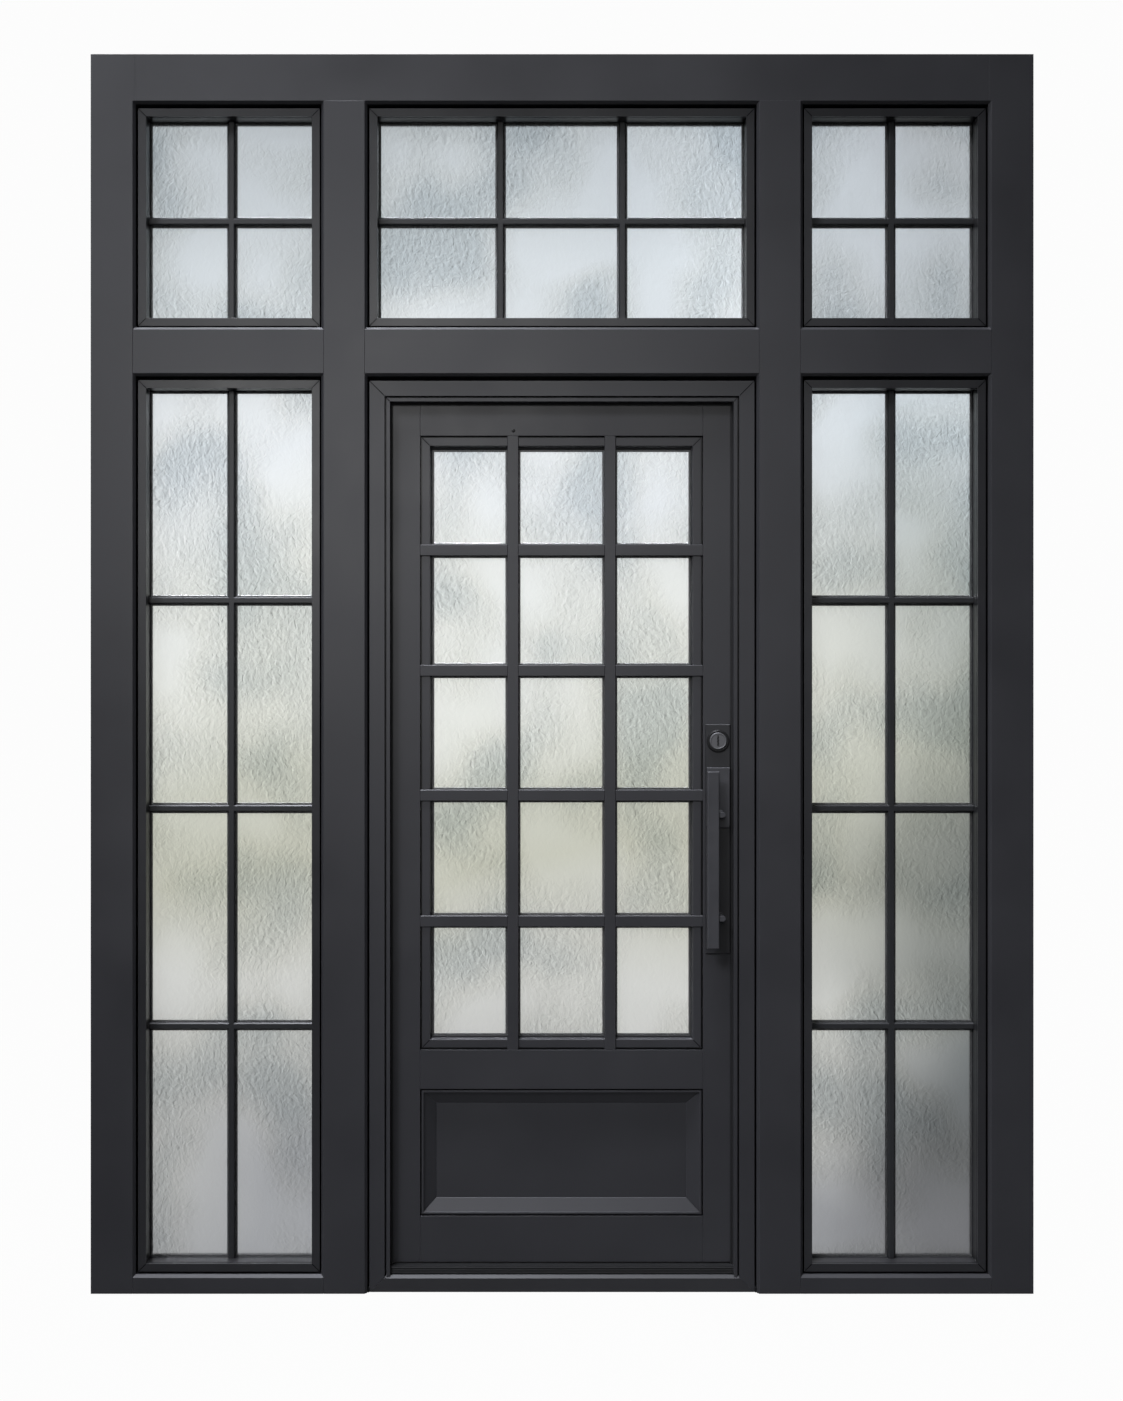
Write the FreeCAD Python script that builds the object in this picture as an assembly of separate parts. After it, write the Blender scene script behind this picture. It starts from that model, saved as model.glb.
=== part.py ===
import FreeCAD, Part
import math
import os

# An entrance of one hinged leaf between two sidelights, with three transoms above.
# Units are millimetres. X runs along the wall, Z up, and Y from outdoors to indoors.
# Depths are measured from the outdoor face of the posts. At export each piece moves by
# half the frame depth, so that the origin lies under the middle of the sill.

Vector = FreeCAD.Vector

# Outer frame
FRAME_DEPTH = 106.0
JAMB_WIDTH = 117.0
MULLION_WIDTH = 121.5
SIDE_OPENING = 490.0
HEAD_HEIGHT = 129.5
TRANSOM_OPENING = 589.0
TRANSOM_RAIL_HEIGHT = 129.0
LOWER_OPENING = 2370.5
BOTTOM_RAIL_HEIGHT = 49.0
EDGE_CHAMFER = 7.0
REAR_LIP = 16.0
REAR_LIP_DEPTH = 12.0
JOINT_GAP = 0.6
HEAD_JOINT_GAP = 0.1

# Fixed sashes
SASH_SETBACK = 12.0
SASH_FACE = 21.0
SASH_SIDE_GAP = 5.0
SASH_TOP_GAP = 9.0
MITRE_GAP = 0.5
CUT_MARGIN = 1.0
GLASS_SETBACK = 62.0
GLASS_THICKNESS = 24.0
GLASS_BITE = 12.0
GLASS_EDGE_GAP = 0.3
REVEAL_GROOVE_START = 20.0
REVEAL_GROOVE = 3.0
REVEAL_GROOVE_DEPTH = 1.5

# Glazing bars of the sashes
BAR_WIDTH = 18.0
BAR_PROUD = 14.0
BAR_INSIDE_PROUD = 6.0
BAR_CHAMFER = 3.0
SIDELIGHT_PANES_FROM_TOP = (559.0, 555.0, 581.0)

# Door frame, its stop and its seal
CASING_SIDE = 46.75
CASING_FACE = 40.0
CASING_GROOVE = 4.8
CASING_GROOVE_DEPTH = 16.0
STOP_FACE = 9.2
STOP_SETBACK = 2.0
CASING_TOP_GAP = 11.0
SEAL_HEIGHT = 4.7
SEAL_PROJECTION = 5.0

# Sill
SILL_FACE = 36.0
SILL_UPSTAND_HEIGHT = 63.0
SILL_UPSTAND_SETBACK = 24.0
SILL_SLOPE_RISE = 0.6

# Door leaf
LEAF_SETBACK = 44.0
LEAF_THICKNESS = 57.0
LEAF_WIDTH = 914.0
LEAF_CLEARANCE = 5.0
LEAF_HEAD_CLEARANCE = 5.5
LOCK_EDGE_BEVEL = 3.0
STILE_WIDTH = 80.0
TOP_RAIL_HEIGHT = 87.5
LOCK_RAIL_HEIGHT = 104.0
BOTTOM_RAIL_LEAF_HEIGHT = 122.0
PANEL_OPENING_HEIGHT = 338.5

# Leaf glazing
BEAD_GROOVE = 5.5
BEAD_FACE = 20.5
BEAD_SETBACK = 4.0
BEAD_FLANGE_SETBACK = 13.5
BEAD_CHAMFER = 5.0
BEAD_CHAMFER_DEPTH = 10.0
LEAF_GLASS_SETBACK = 16.0
LEAF_BAR_WIDTH = 30.0
LEAF_BAR_CHAMFER = 1.5
LEAF_BAR_JOINT = 0.1
LEAF_COLUMN_SPACING = 259.0
LEAF_ROW_STEPS = (342.5, 335.5, 332.5, 321.0)

# Leaf panel
PANEL_GROOVE = 4.5
PANEL_RIM = 5.0
PANEL_RIM_SETBACK = 1.0
PANEL_RIM_STEP = 4.0
PANEL_SLOPE = 33.0
PANEL_SETBACK = 22.0

# Hinges
HINGE_COUNT = 4
HINGE_LENGTH = 110.0
HINGE_END_MARGIN = 180.0
HINGE_PLATE = 2.5
HINGE_PLATE_DEPTH = 31.0
HINGE_BARREL_RADIUS = 7.0
HINGE_PIN_RADIUS = 4.0
HINGE_PIN_CLEARANCE = 0.05
HINGE_KNUCKLES = 5
HINGE_KNUCKLE_GAP = 0.4
HINGE_CAP_RADIUS = 5.5
HINGE_CAP_HEIGHT = 4.0

# Handle set
HANDLE_CENTRE_FROM_LOCK_EDGE = 41.0
PLATE_WIDTH = 66.0
PLATE_LENGTH = 611.0
PLATE_FOOT_HEIGHT = 889.5
PLATE_THICKNESS = 6.0
PLATE_BEVEL = 2.0
BLOCK_WIDTH = 61.0
BLOCK_LENGTH = 160.0
BLOCK_TOP_BELOW_PLATE_TOP = 115.0
BLOCK_THICKNESS = 10.0
BLOCK_CORNER = 7.0
BLOCK_EDGE = 1.5
PULL_WIDTH = 31.0
PULL_THICKNESS = 14.0
PULL_FOOT_ABOVE_PLATE_FOOT = 21.5
PULL_TOP_BELOW_PLATE_TOP = 123.5
PULL_OFFSET = 19.0
PULL_STANDOFF = 40.0
PULL_EDGE = 2.0
POST_RADIUS = 7.0
POST_OFFSET = 6.5
POST_ARM_THICKNESS = 9.0
POST_BASE_RADIUS = 10.0
POST_BASE_HEIGHT = 4.0
LOWER_POST_ABOVE_PULL_FOOT = 79.0
UPPER_POST_BELOW_PULL_TOP = 114.0
CYLINDER_BELOW_PLATE_TOP = 45.0
COLLAR_RADIUS = 28.5
COLLAR_BORE_RADIUS = 24.8
COLLAR_HEIGHT = 5.0
COLLAR_FLOOR = 2.0
TURNED_EDGE = 1.2
PLUG_RADIUS = 23.0
PLUG_PROUD = 1.0
PLUG_AXIAL_CLEARANCE = 0.3
SPINDLE_RADIUS = 10.0
SPINDLE_CLEARANCE = 0.05
KEYWAY_LENGTH = 33.0
KEYWAY_WIDTH = 6.0
KEYWAY_DEPTH = 2.2
THUMB_TURN_RADIUS = 17.0
THUMB_TURN_HEIGHT = 9.0
THUMB_BLADE_WIDTH = 9.0
THUMB_BLADE_HEIGHT = 14.0

# Places that follow from the sizes above
REBATE_X = LEAF_WIDTH / 2 + LEAF_CLEARANCE
CASING_OUTER_X = REBATE_X + CASING_SIDE
HALF_DOOR_OPENING = CASING_OUTER_X + SASH_SIDE_GAP
MULLION_OUTER_X = HALF_DOOR_OPENING + MULLION_WIDTH
JAMB_INNER_X = MULLION_OUTER_X + SIDE_OPENING
HALF_WIDTH = JAMB_INNER_X + JAMB_WIDTH
LOWER_TOP_Z = BOTTOM_RAIL_HEIGHT + LOWER_OPENING
TRANSOM_FOOT_Z = LOWER_TOP_Z + TRANSOM_RAIL_HEIGHT
TRANSOM_TOP_Z = TRANSOM_FOOT_Z + TRANSOM_OPENING
TOTAL_HEIGHT = TRANSOM_TOP_Z + HEAD_HEIGHT
LIP_Y = FRAME_DEPTH - REAR_LIP_DEPTH

LEAF_REAR_Y = LEAF_SETBACK + LEAF_THICKNESS
LEAF_LEFT_X = -LEAF_WIDTH / 2
LEAF_RIGHT_X = LEAF_WIDTH / 2
LEAF_FOOT_Z = SILL_UPSTAND_HEIGHT + LEAF_CLEARANCE
OPENING_LEFT_X = LEAF_LEFT_X + STILE_WIDTH
OPENING_RIGHT_X = LEAF_RIGHT_X - STILE_WIDTH
PANEL_FOOT_Z = LEAF_FOOT_Z + BOTTOM_RAIL_LEAF_HEIGHT
PANEL_TOP_Z = PANEL_FOOT_Z + PANEL_OPENING_HEIGHT
LIGHT_FOOT_Z = PANEL_TOP_Z + LOCK_RAIL_HEIGHT
STOP_EDGE_X = CASING_OUTER_X - CASING_FACE - CASING_GROOVE - STOP_FACE
STOP_REAR_Y = LEAF_SETBACK - LEAF_CLEARANCE
CASING_TOP_Z = LOWER_TOP_Z - CASING_TOP_GAP
REBATE_TOP_Z = CASING_TOP_Z - CASING_SIDE
LEAF_TOP_Z = REBATE_TOP_Z - LEAF_HEAD_CLEARANCE
LIGHT_TOP_Z = LEAF_TOP_Z - TOP_RAIL_HEIGHT

HINGE_X = LEAF_LEFT_X - LEAF_CLEARANCE / 2
HINGE_Y = FRAME_DEPTH + HINGE_BARREL_RADIUS
HANDLE_X = LEAF_RIGHT_X - HANDLE_CENTRE_FROM_LOCK_EDGE
PLATE_TOP_Z = PLATE_FOOT_HEIGHT + PLATE_LENGTH
PLATE_Y = LEAF_SETBACK - PLATE_THICKNESS
BLOCK_TOP_Z = PLATE_TOP_Z - BLOCK_TOP_BELOW_PLATE_TOP
PULL_FOOT_Z = PLATE_FOOT_HEIGHT + PULL_FOOT_ABOVE_PLATE_FOOT
PULL_TOP_Z = PLATE_TOP_Z - PULL_TOP_BELOW_PLATE_TOP
CYLINDER_Z = PLATE_TOP_Z - CYLINDER_BELOW_PLATE_TOP


def flat(points):
    """Return the face bounded by straight edges through the points."""
    return Part.Face(Part.makePolygon(list(points) + [points[0]]))


def upright(outline, z0, z1):
    """Extrude an outline of (x, y) points from z0 to z1."""
    return flat([Vector(x, y, z0) for x, y in outline]).extrude(Vector(0, 0, z1 - z0))


def lengthwise(outline, x0, x1):
    """Extrude an outline of (y, z) points from x0 to x1."""
    return flat([Vector(x0, y, z) for y, z in outline]).extrude(Vector(x1 - x0, 0, 0))


def through(outline, y0, y1):
    """Extrude an outline of (x, z) points from depth y0 to depth y1."""
    return flat([Vector(x, y0, z) for x, z in outline]).extrude(Vector(0, y1 - y0, 0))


def block(x0, x1, y0, y1, z0, z1):
    """Return the box between two corners."""
    return Part.makeBox(x1 - x0, y1 - y0, z1 - z0, Vector(x0, y0, z0))


def mirrored_x(shape):
    """Return the shape seen in a mirror that stands across the middle of the door."""
    return shape.mirror(Vector(0, 0, 0), Vector(1, 0, 0))


def mirrored_in_leaf(shape):
    """Return the shape mirrored from the leaf's outdoor face to its indoor face."""
    middle = LEAF_SETBACK + LEAF_THICKNESS / 2
    return shape.mirror(Vector(0, middle, 0), Vector(0, 1, 0))


def opening_chamfer(x0, x1, z0, z1):
    """Return the flared cutter that bevels the outdoor edges round one opening."""
    flare = EDGE_CHAMFER
    return Part.makeWedge(
        x0 - flare, 0, z0 - flare, z0, x0, x1 + flare, flare, z1 + flare, z1, x1
    )


def side_bays():
    """Return the x limits of the two side bays, left first."""
    return ((-JAMB_INNER_X, -MULLION_OUTER_X), (MULLION_OUTER_X, JAMB_INNER_X))


def all_bays():
    """Return the x limits of the three bays from left to right."""
    left, right = side_bays()
    return (left, (-HALF_DOOR_OPENING, HALF_DOOR_OPENING), right)


def chamfer_cutters():
    """Return the cutters of all six openings. The door's runs down past the floor."""
    cutters = [opening_chamfer(x0, x1, TRANSOM_FOOT_Z, TRANSOM_TOP_Z) for x0, x1 in all_bays()]
    for x0, x1 in side_bays():
        cutters.append(opening_chamfer(x0, x1, BOTTOM_RAIL_HEIGHT, LOWER_TOP_Z))
    below_floor = -2 * EDGE_CHAMFER
    cutters.append(
        opening_chamfer(-HALF_DOOR_OPENING, HALF_DOOR_OPENING, below_floor, LOWER_TOP_Z)
    )
    return Part.makeCompound(cutters)


def housings():
    """Return the shallow pockets in the posts that the ends of the rails stand in."""
    pockets = []
    for x0, x1 in all_bays():
        ends = ((x0 - EDGE_CHAMFER, x0), (x1, x1 + EDGE_CHAMFER))
        pockets += [block(a, b, 0, LIP_Y, LOWER_TOP_Z, TRANSOM_FOOT_Z) for a, b in ends]
    for x0, x1 in side_bays():
        ends = ((x0 - EDGE_CHAMFER, x0), (x1, x1 + EDGE_CHAMFER))
        pockets += [block(a, b, 0, LIP_Y, 0, BOTTOM_RAIL_HEIGHT) for a, b in ends]
    return Part.makeCompound(pockets)


def make_posts():
    """Return the jambs and mullions, each with the rear lips that its sashes seat on."""
    jamb = upright(
        [
            (-HALF_WIDTH, 0),
            (-JAMB_INNER_X, 0),
            (-JAMB_INNER_X, LIP_Y),
            (-JAMB_INNER_X + REAR_LIP, LIP_Y),
            (-JAMB_INNER_X + REAR_LIP, FRAME_DEPTH),
            (-HALF_WIDTH, FRAME_DEPTH),
        ],
        0,
        TOTAL_HEIGHT,
    )
    outer, inner = -MULLION_OUTER_X, -HALF_DOOR_OPENING
    mullion = upright(
        [
            (outer, 0),
            (inner, 0),
            (inner, LIP_Y),
            (inner + REAR_LIP, LIP_Y),
            (inner + REAR_LIP, FRAME_DEPTH),
            (outer - REAR_LIP, FRAME_DEPTH),
            (outer - REAR_LIP, LIP_Y),
            (outer, LIP_Y),
        ],
        0,
        TRANSOM_TOP_Z + EDGE_CHAMFER,
    )
    pockets = housings()
    return {
        "left_jamb": jamb.cut(pockets),
        "right_jamb": mirrored_x(jamb).cut(pockets),
        "left_mullion": mullion.cut(pockets),
        "right_mullion": mirrored_x(mullion).cut(pockets),
    }


def rail(x0, x1, z0, z1, lip_below, lip_above):
    """Return a rail housed in two posts, with its rear lips cut back at the ends."""
    end = EDGE_CHAMFER - JOINT_GAP
    front = block(x0 - end, x1 + end, 0, LIP_Y, z0, z1)
    rear = block(
        x0 + REAR_LIP + JOINT_GAP,
        x1 - REAR_LIP - JOINT_GAP,
        LIP_Y,
        FRAME_DEPTH,
        z0 - lip_below,
        z1 + lip_above,
    )
    return front.fuse(rear).removeSplitter()


def make_head(mullions):
    """Return the head, which houses the tops of both mullions, with a rear lip in each bay."""
    end = JAMB_INNER_X - HEAD_JOINT_GAP
    shape = block(-end, end, 0, LIP_Y, TRANSOM_TOP_Z, TOTAL_HEIGHT)
    rear_end = end - REAR_LIP
    shape = shape.fuse(block(-rear_end, rear_end, LIP_Y, FRAME_DEPTH, TRANSOM_TOP_Z, TOTAL_HEIGHT))
    for x0, x1 in all_bays():
        shape = shape.fuse(
            block(
                x0 + REAR_LIP + JOINT_GAP,
                x1 - REAR_LIP - JOINT_GAP,
                LIP_Y,
                FRAME_DEPTH,
                TRANSOM_TOP_Z - REAR_LIP,
                TRANSOM_TOP_Z,
            )
        )
    return shape.removeSplitter().cut(mullions)


def make_outer_frame():
    """Return the posts, the head and the rails, bevelled round every opening."""
    pieces = make_posts()
    pieces["head"] = make_head([pieces["left_mullion"], pieces["right_mullion"]])
    cutters = chamfer_cutters()
    framed = {name: shape.cut(cutters) for name, shape in pieces.items()}
    left, centre, right = [
        rail(x0, x1, LOWER_TOP_Z, TRANSOM_FOOT_Z, REAR_LIP, REAR_LIP).cut(cutters)
        for x0, x1 in all_bays()
    ]
    framed["centre_transom_rail"] = centre
    framed["side_transom_rails"] = Part.makeCompound([left, right])
    feet = [
        rail(x0, x1, 0, BOTTOM_RAIL_HEIGHT, 0, REAR_LIP).cut(cutters) for x0, x1 in side_bays()
    ]
    framed["sidelight_bottom_rails"] = Part.makeCompound(feet)
    return framed


def mitred_frame(x0, x1, z0, z1, outline, sides=("left", "right", "foot", "head")):
    """Return mitred members round a rectangle, as solids a hair apart at the mitres.

    The outline holds (inset, depth) points, with inset measured in from the rectangle.
    """
    reach = max(inset for inset, _ in outline)
    near = min(depth for _, depth in outline) - CUT_MARGIN
    far = max(depth for _, depth in outline) + CUT_MARGIN
    hair = MITRE_GAP / math.sqrt(2)
    members = {}
    if "left" in sides:
        bar = upright([(x0 + u, y) for u, y in outline], z0, z1)
        keep = [(x0, z0 + hair), (x0 + reach, z0 + reach + hair)]
        keep += [(x0 + reach, z1 - reach - hair), (x0, z1 - hair)]
        members["left"] = bar.common(through(keep, near, far))
    if "right" in sides:
        bar = upright([(x1 - u, y) for u, y in outline], z0, z1)
        keep = [(x1, z0 + hair), (x1 - reach, z0 + reach + hair)]
        keep += [(x1 - reach, z1 - reach - hair), (x1, z1 - hair)]
        members["right"] = bar.common(through(keep, near, far))
    if "foot" in sides:
        bar = lengthwise([(y, z0 + u) for u, y in outline], x0, x1)
        keep = [(x0 + hair, z0), (x0 + reach + hair, z0 + reach)]
        keep += [(x1 - reach - hair, z0 + reach), (x1 - hair, z0)]
        members["foot"] = bar.common(through(keep, near, far))
    if "head" in sides:
        bar = lengthwise([(y, z1 - u) for u, y in outline], x0, x1)
        keep = [(x0 + hair, z1), (x0 + reach + hair, z1 - reach)]
        keep += [(x1 - reach - hair, z1 - reach), (x1 - hair, z1)]
        members["head"] = bar.common(through(keep, near, far))
    return members


def sash_outline():
    """Return the sash section: a face, a grooved reveal, a glazing rebate and a rear bead."""
    glass_rear = GLASS_SETBACK + GLASS_THICKNESS
    rebate = SASH_FACE - GLASS_BITE
    groove_end = REVEAL_GROOVE_START + REVEAL_GROOVE
    return [
        (0, SASH_SETBACK),
        (SASH_FACE, SASH_SETBACK),
        (SASH_FACE, REVEAL_GROOVE_START),
        (SASH_FACE - REVEAL_GROOVE_DEPTH, REVEAL_GROOVE_START),
        (SASH_FACE - REVEAL_GROOVE_DEPTH, groove_end),
        (SASH_FACE, groove_end),
        (SASH_FACE, GLASS_SETBACK),
        (rebate, GLASS_SETBACK),
        (rebate, glass_rear),
        (SASH_FACE, glass_rear),
        (SASH_FACE, LIP_Y),
        (0, LIP_Y),
    ]


def bar_upright(x, z0, z1, y_face, y_glass):
    """Return one upright sash bar with bevelled arrises, standing on the glass."""
    half = BAR_WIDTH / 2
    toward = BAR_CHAMFER if y_glass > y_face else -BAR_CHAMFER
    return upright(
        [
            (x - half, y_glass),
            (x - half, y_face + toward),
            (x - half + BAR_CHAMFER, y_face),
            (x + half - BAR_CHAMFER, y_face),
            (x + half, y_face + toward),
            (x + half, y_glass),
        ],
        z0,
        z1,
    )


def bar_level(z, x0, x1, y_face, y_glass):
    """Return one level sash bar with the same section."""
    half = BAR_WIDTH / 2
    toward = BAR_CHAMFER if y_glass > y_face else -BAR_CHAMFER
    return lengthwise(
        [
            (y_glass, z - half),
            (y_face + toward, z - half),
            (y_face, z - half + BAR_CHAMFER),
            (y_face, z + half - BAR_CHAMFER),
            (y_face + toward, z + half),
            (y_glass, z + half),
        ],
        x0,
        x1,
    )


def sash_bars(x0, x1, z0, z1, columns, levels):
    """Return the outdoor and indoor bar grids of one light, each one piece."""
    grids = []
    glass_rear = GLASS_SETBACK + GLASS_THICKNESS
    for y_face, y_glass in (
        (GLASS_SETBACK - BAR_PROUD, GLASS_SETBACK),
        (glass_rear + BAR_INSIDE_PROUD, glass_rear),
    ):
        bars = [
            bar_upright(x0 + (x1 - x0) * n / (columns + 1), z0, z1, y_face, y_glass)
            for n in range(1, columns + 1)
        ]
        bars += [bar_level(z, x0, x1, y_face, y_glass) for z in levels]
        grid = bars[0]
        for bar in bars[1:]:
            grid = grid.fuse(bar)
        grids.append(grid.removeSplitter())
    return Part.makeCompound(grids)


def fixed_light(name, x0, x1, z0, z1, columns, pane_heights):
    """Return the sash, glass and bars of the fixed light in one opening."""
    sash_x0, sash_x1 = x0 + SASH_SIDE_GAP, x1 - SASH_SIDE_GAP
    sash_z0, sash_z1 = z0 + SASH_SIDE_GAP, z1 - SASH_TOP_GAP
    members = mitred_frame(sash_x0, sash_x1, sash_z0, sash_z1, sash_outline())
    sight_x0, sight_x1 = sash_x0 + SASH_FACE, sash_x1 - SASH_FACE
    sight_z0, sight_z1 = sash_z0 + SASH_FACE, sash_z1 - SASH_FACE
    bite = GLASS_BITE - GLASS_EDGE_GAP
    glass = block(
        sight_x0 - bite,
        sight_x1 + bite,
        GLASS_SETBACK,
        GLASS_SETBACK + GLASS_THICKNESS,
        sight_z0 - bite,
        sight_z1 + bite,
    )
    levels = []
    level = sight_z1
    for height in pane_heights:
        level -= height
        levels.append(level)
    return {
        name + "_sash": Part.makeCompound(list(members.values())),
        name + "_bars": sash_bars(sight_x0, sight_x1, sight_z0, sight_z1, columns, levels),
        name + "_glass": glass,
    }


def make_fixed_lights():
    """Return the two sidelights and the three transoms."""
    pieces = {}
    left, centre, right = all_bays()
    transom_panes = ((TRANSOM_OPENING - SASH_SIDE_GAP - SASH_TOP_GAP) / 2 - SASH_FACE,)
    for name, (x0, x1) in (("left", left), ("right", right)):
        pieces.update(
            fixed_light(
                name + "_sidelight",
                x0,
                x1,
                BOTTOM_RAIL_HEIGHT,
                LOWER_TOP_Z,
                1,
                SIDELIGHT_PANES_FROM_TOP,
            )
        )
        pieces.update(
            fixed_light(
                name + "_transom", x0, x1, TRANSOM_FOOT_Z, TRANSOM_TOP_Z, 1, transom_panes
            )
        )
    side_bars = [pieces.pop(name + "_transom_bars") for name in ("left", "right")]
    pieces["side_transom_bars"] = Part.makeCompound(side_bars)
    x0, x1 = centre
    pieces.update(
        fixed_light("centre_transom", x0, x1, TRANSOM_FOOT_Z, TRANSOM_TOP_Z, 2, transom_panes)
    )
    return pieces


def casing_outline():
    """Return the door frame section: face, groove, stop, rebate and the notch for the lip."""
    groove = CASING_FACE + CASING_GROOVE
    stop_edge = groove + STOP_FACE
    behind_lip = REAR_LIP - SASH_SIDE_GAP + JOINT_GAP
    return [
        (0, SASH_SETBACK),
        (CASING_FACE, SASH_SETBACK),
        (CASING_FACE, SASH_SETBACK + CASING_GROOVE_DEPTH),
        (groove, SASH_SETBACK + CASING_GROOVE_DEPTH),
        (groove, SASH_SETBACK + STOP_SETBACK),
        (stop_edge, SASH_SETBACK + STOP_SETBACK),
        (stop_edge, STOP_REAR_Y),
        (CASING_SIDE, STOP_REAR_Y),
        (CASING_SIDE, FRAME_DEPTH),
        (behind_lip, FRAME_DEPTH),
        (behind_lip, LIP_Y),
        (0, LIP_Y),
    ]


def make_sill(end_gap):
    """Return the sill, mitred into the door frame's feet with the given gap at each end."""
    front, lip = SASH_SETBACK, SASH_SETBACK + EDGE_CHAMFER
    top = SILL_FACE + EDGE_CHAMFER
    bar = lengthwise(
        [
            (front, 0),
            (front, SILL_FACE),
            (lip, top),
            (SILL_UPSTAND_SETBACK, top + SILL_SLOPE_RISE),
            (SILL_UPSTAND_SETBACK, SILL_UPSTAND_HEIGHT),
            (FRAME_DEPTH, SILL_UPSTAND_HEIGHT),
            (FRAME_DEPTH, 0),
        ],
        -CASING_OUTER_X,
        CASING_OUTER_X,
    )
    foot, height = CASING_OUTER_X - end_gap, SILL_UPSTAND_HEIGHT
    ends = [(-foot, 0), (-foot + CASING_SIDE, CASING_SIDE), (-foot + CASING_SIDE, height)]
    ends += [(foot - CASING_SIDE, height), (foot - CASING_SIDE, CASING_SIDE), (foot, 0)]
    sill = bar.common(through(ends, 0, FRAME_DEPTH))
    lip_edge = HALF_DOOR_OPENING - REAR_LIP - JOINT_GAP
    notch = block(lip_edge, HALF_DOOR_OPENING, LIP_Y, FRAME_DEPTH, 0, height)
    return sill.cut([notch, mirrored_x(notch)])


def make_door_frame(hinge_pockets):
    """Return the door frame's three members, cut for the sill and the hinge plates."""
    members = mitred_frame(
        -CASING_OUTER_X,
        CASING_OUTER_X,
        -CASING_OUTER_X,
        CASING_TOP_Z,
        casing_outline(),
        ("left", "right", "head"),
    )
    below_floor = block(-HALF_WIDTH, HALF_WIDTH, 0, FRAME_DEPTH, -HALF_WIDTH, 0)
    cutter = below_floor.fuse(make_sill(0))
    hair = MITRE_GAP * math.sqrt(2)
    return {
        "door_frame_left": members["left"].cut(cutter).cut(hinge_pockets),
        "door_frame_right": members["right"].cut(cutter),
        "door_frame_head": members["head"],
        "sill": make_sill(hair),
    }


def make_door_seal():
    """Return the seal along the back of the stop: two upright strips and one across."""
    inner = STOP_EDGE_X - SEAL_PROJECTION
    outer = REBATE_X - LEAF_CLEARANCE
    y0, y1 = STOP_REAR_Y, STOP_REAR_Y + SEAL_HEIGHT
    z_inner = STOP_EDGE_X - CASING_OUTER_X + CASING_TOP_Z - SEAL_PROJECTION
    z_outer = REBATE_TOP_Z - LEAF_HEAD_CLEARANCE
    strip = block(inner, outer, y0, y1, SILL_UPSTAND_HEIGHT, z_inner - JOINT_GAP)
    across = block(-outer, outer, y0, y1, z_inner, z_outer)
    return Part.makeCompound([strip, mirrored_x(strip), across])


def lock_edge_trim():
    """Return the wedge that bevels the leaf's lock edge towards the outdoor face."""
    return upright(
        [
            (LEAF_RIGHT_X, LEAF_REAR_Y),
            (LEAF_RIGHT_X - LOCK_EDGE_BEVEL, LEAF_SETBACK),
            (LEAF_RIGHT_X - LOCK_EDGE_BEVEL, LEAF_SETBACK - CUT_MARGIN),
            (LEAF_RIGHT_X + CUT_MARGIN, LEAF_SETBACK - CUT_MARGIN),
            (LEAF_RIGHT_X + CUT_MARGIN, LEAF_REAR_Y),
        ],
        LEAF_FOOT_Z - CUT_MARGIN,
        LEAF_TOP_Z + CUT_MARGIN,
    )


def make_leaf_frame(hinge_pockets):
    """Return the leaf's stiles and rails. The rails butt between the stiles."""
    y0, y1 = LEAF_SETBACK, LEAF_REAR_Y
    hinge_stile = block(LEAF_LEFT_X, OPENING_LEFT_X, y0, y1, LEAF_FOOT_Z, LEAF_TOP_Z)
    lock_stile = block(OPENING_RIGHT_X, LEAF_RIGHT_X, y0, y1, LEAF_FOOT_Z, LEAF_TOP_Z)
    x0, x1 = OPENING_LEFT_X + JOINT_GAP, OPENING_RIGHT_X - JOINT_GAP
    return {
        "hinge_stile": hinge_stile.cut(hinge_pockets),
        "lock_stile": lock_stile.cut(lock_edge_trim()),
        "top_rail": block(x0, x1, y0, y1, LIGHT_TOP_Z, LEAF_TOP_Z),
        "lock_rail": block(x0, x1, y0, y1, PANEL_TOP_Z, LIGHT_FOOT_Z),
        "bottom_rail": block(x0, x1, y0, y1, LEAF_FOOT_Z, PANEL_FOOT_Z),
    }


def bead_outline():
    """Return the glazing bead section: a sunk flange, a raised face and a bevel to the glass."""
    inner = BEAD_GROOVE + BEAD_FACE
    glass = LEAF_SETBACK + LEAF_GLASS_SETBACK
    face = LEAF_SETBACK + BEAD_SETBACK
    flange = LEAF_SETBACK + BEAD_FLANGE_SETBACK
    return [
        (JOINT_GAP, flange),
        (BEAD_GROOVE, flange),
        (BEAD_GROOVE, face),
        (inner, face),
        (inner + BEAD_CHAMFER, face + BEAD_CHAMFER_DEPTH),
        (inner + BEAD_CHAMFER, glass),
        (JOINT_GAP, glass),
    ]


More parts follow.
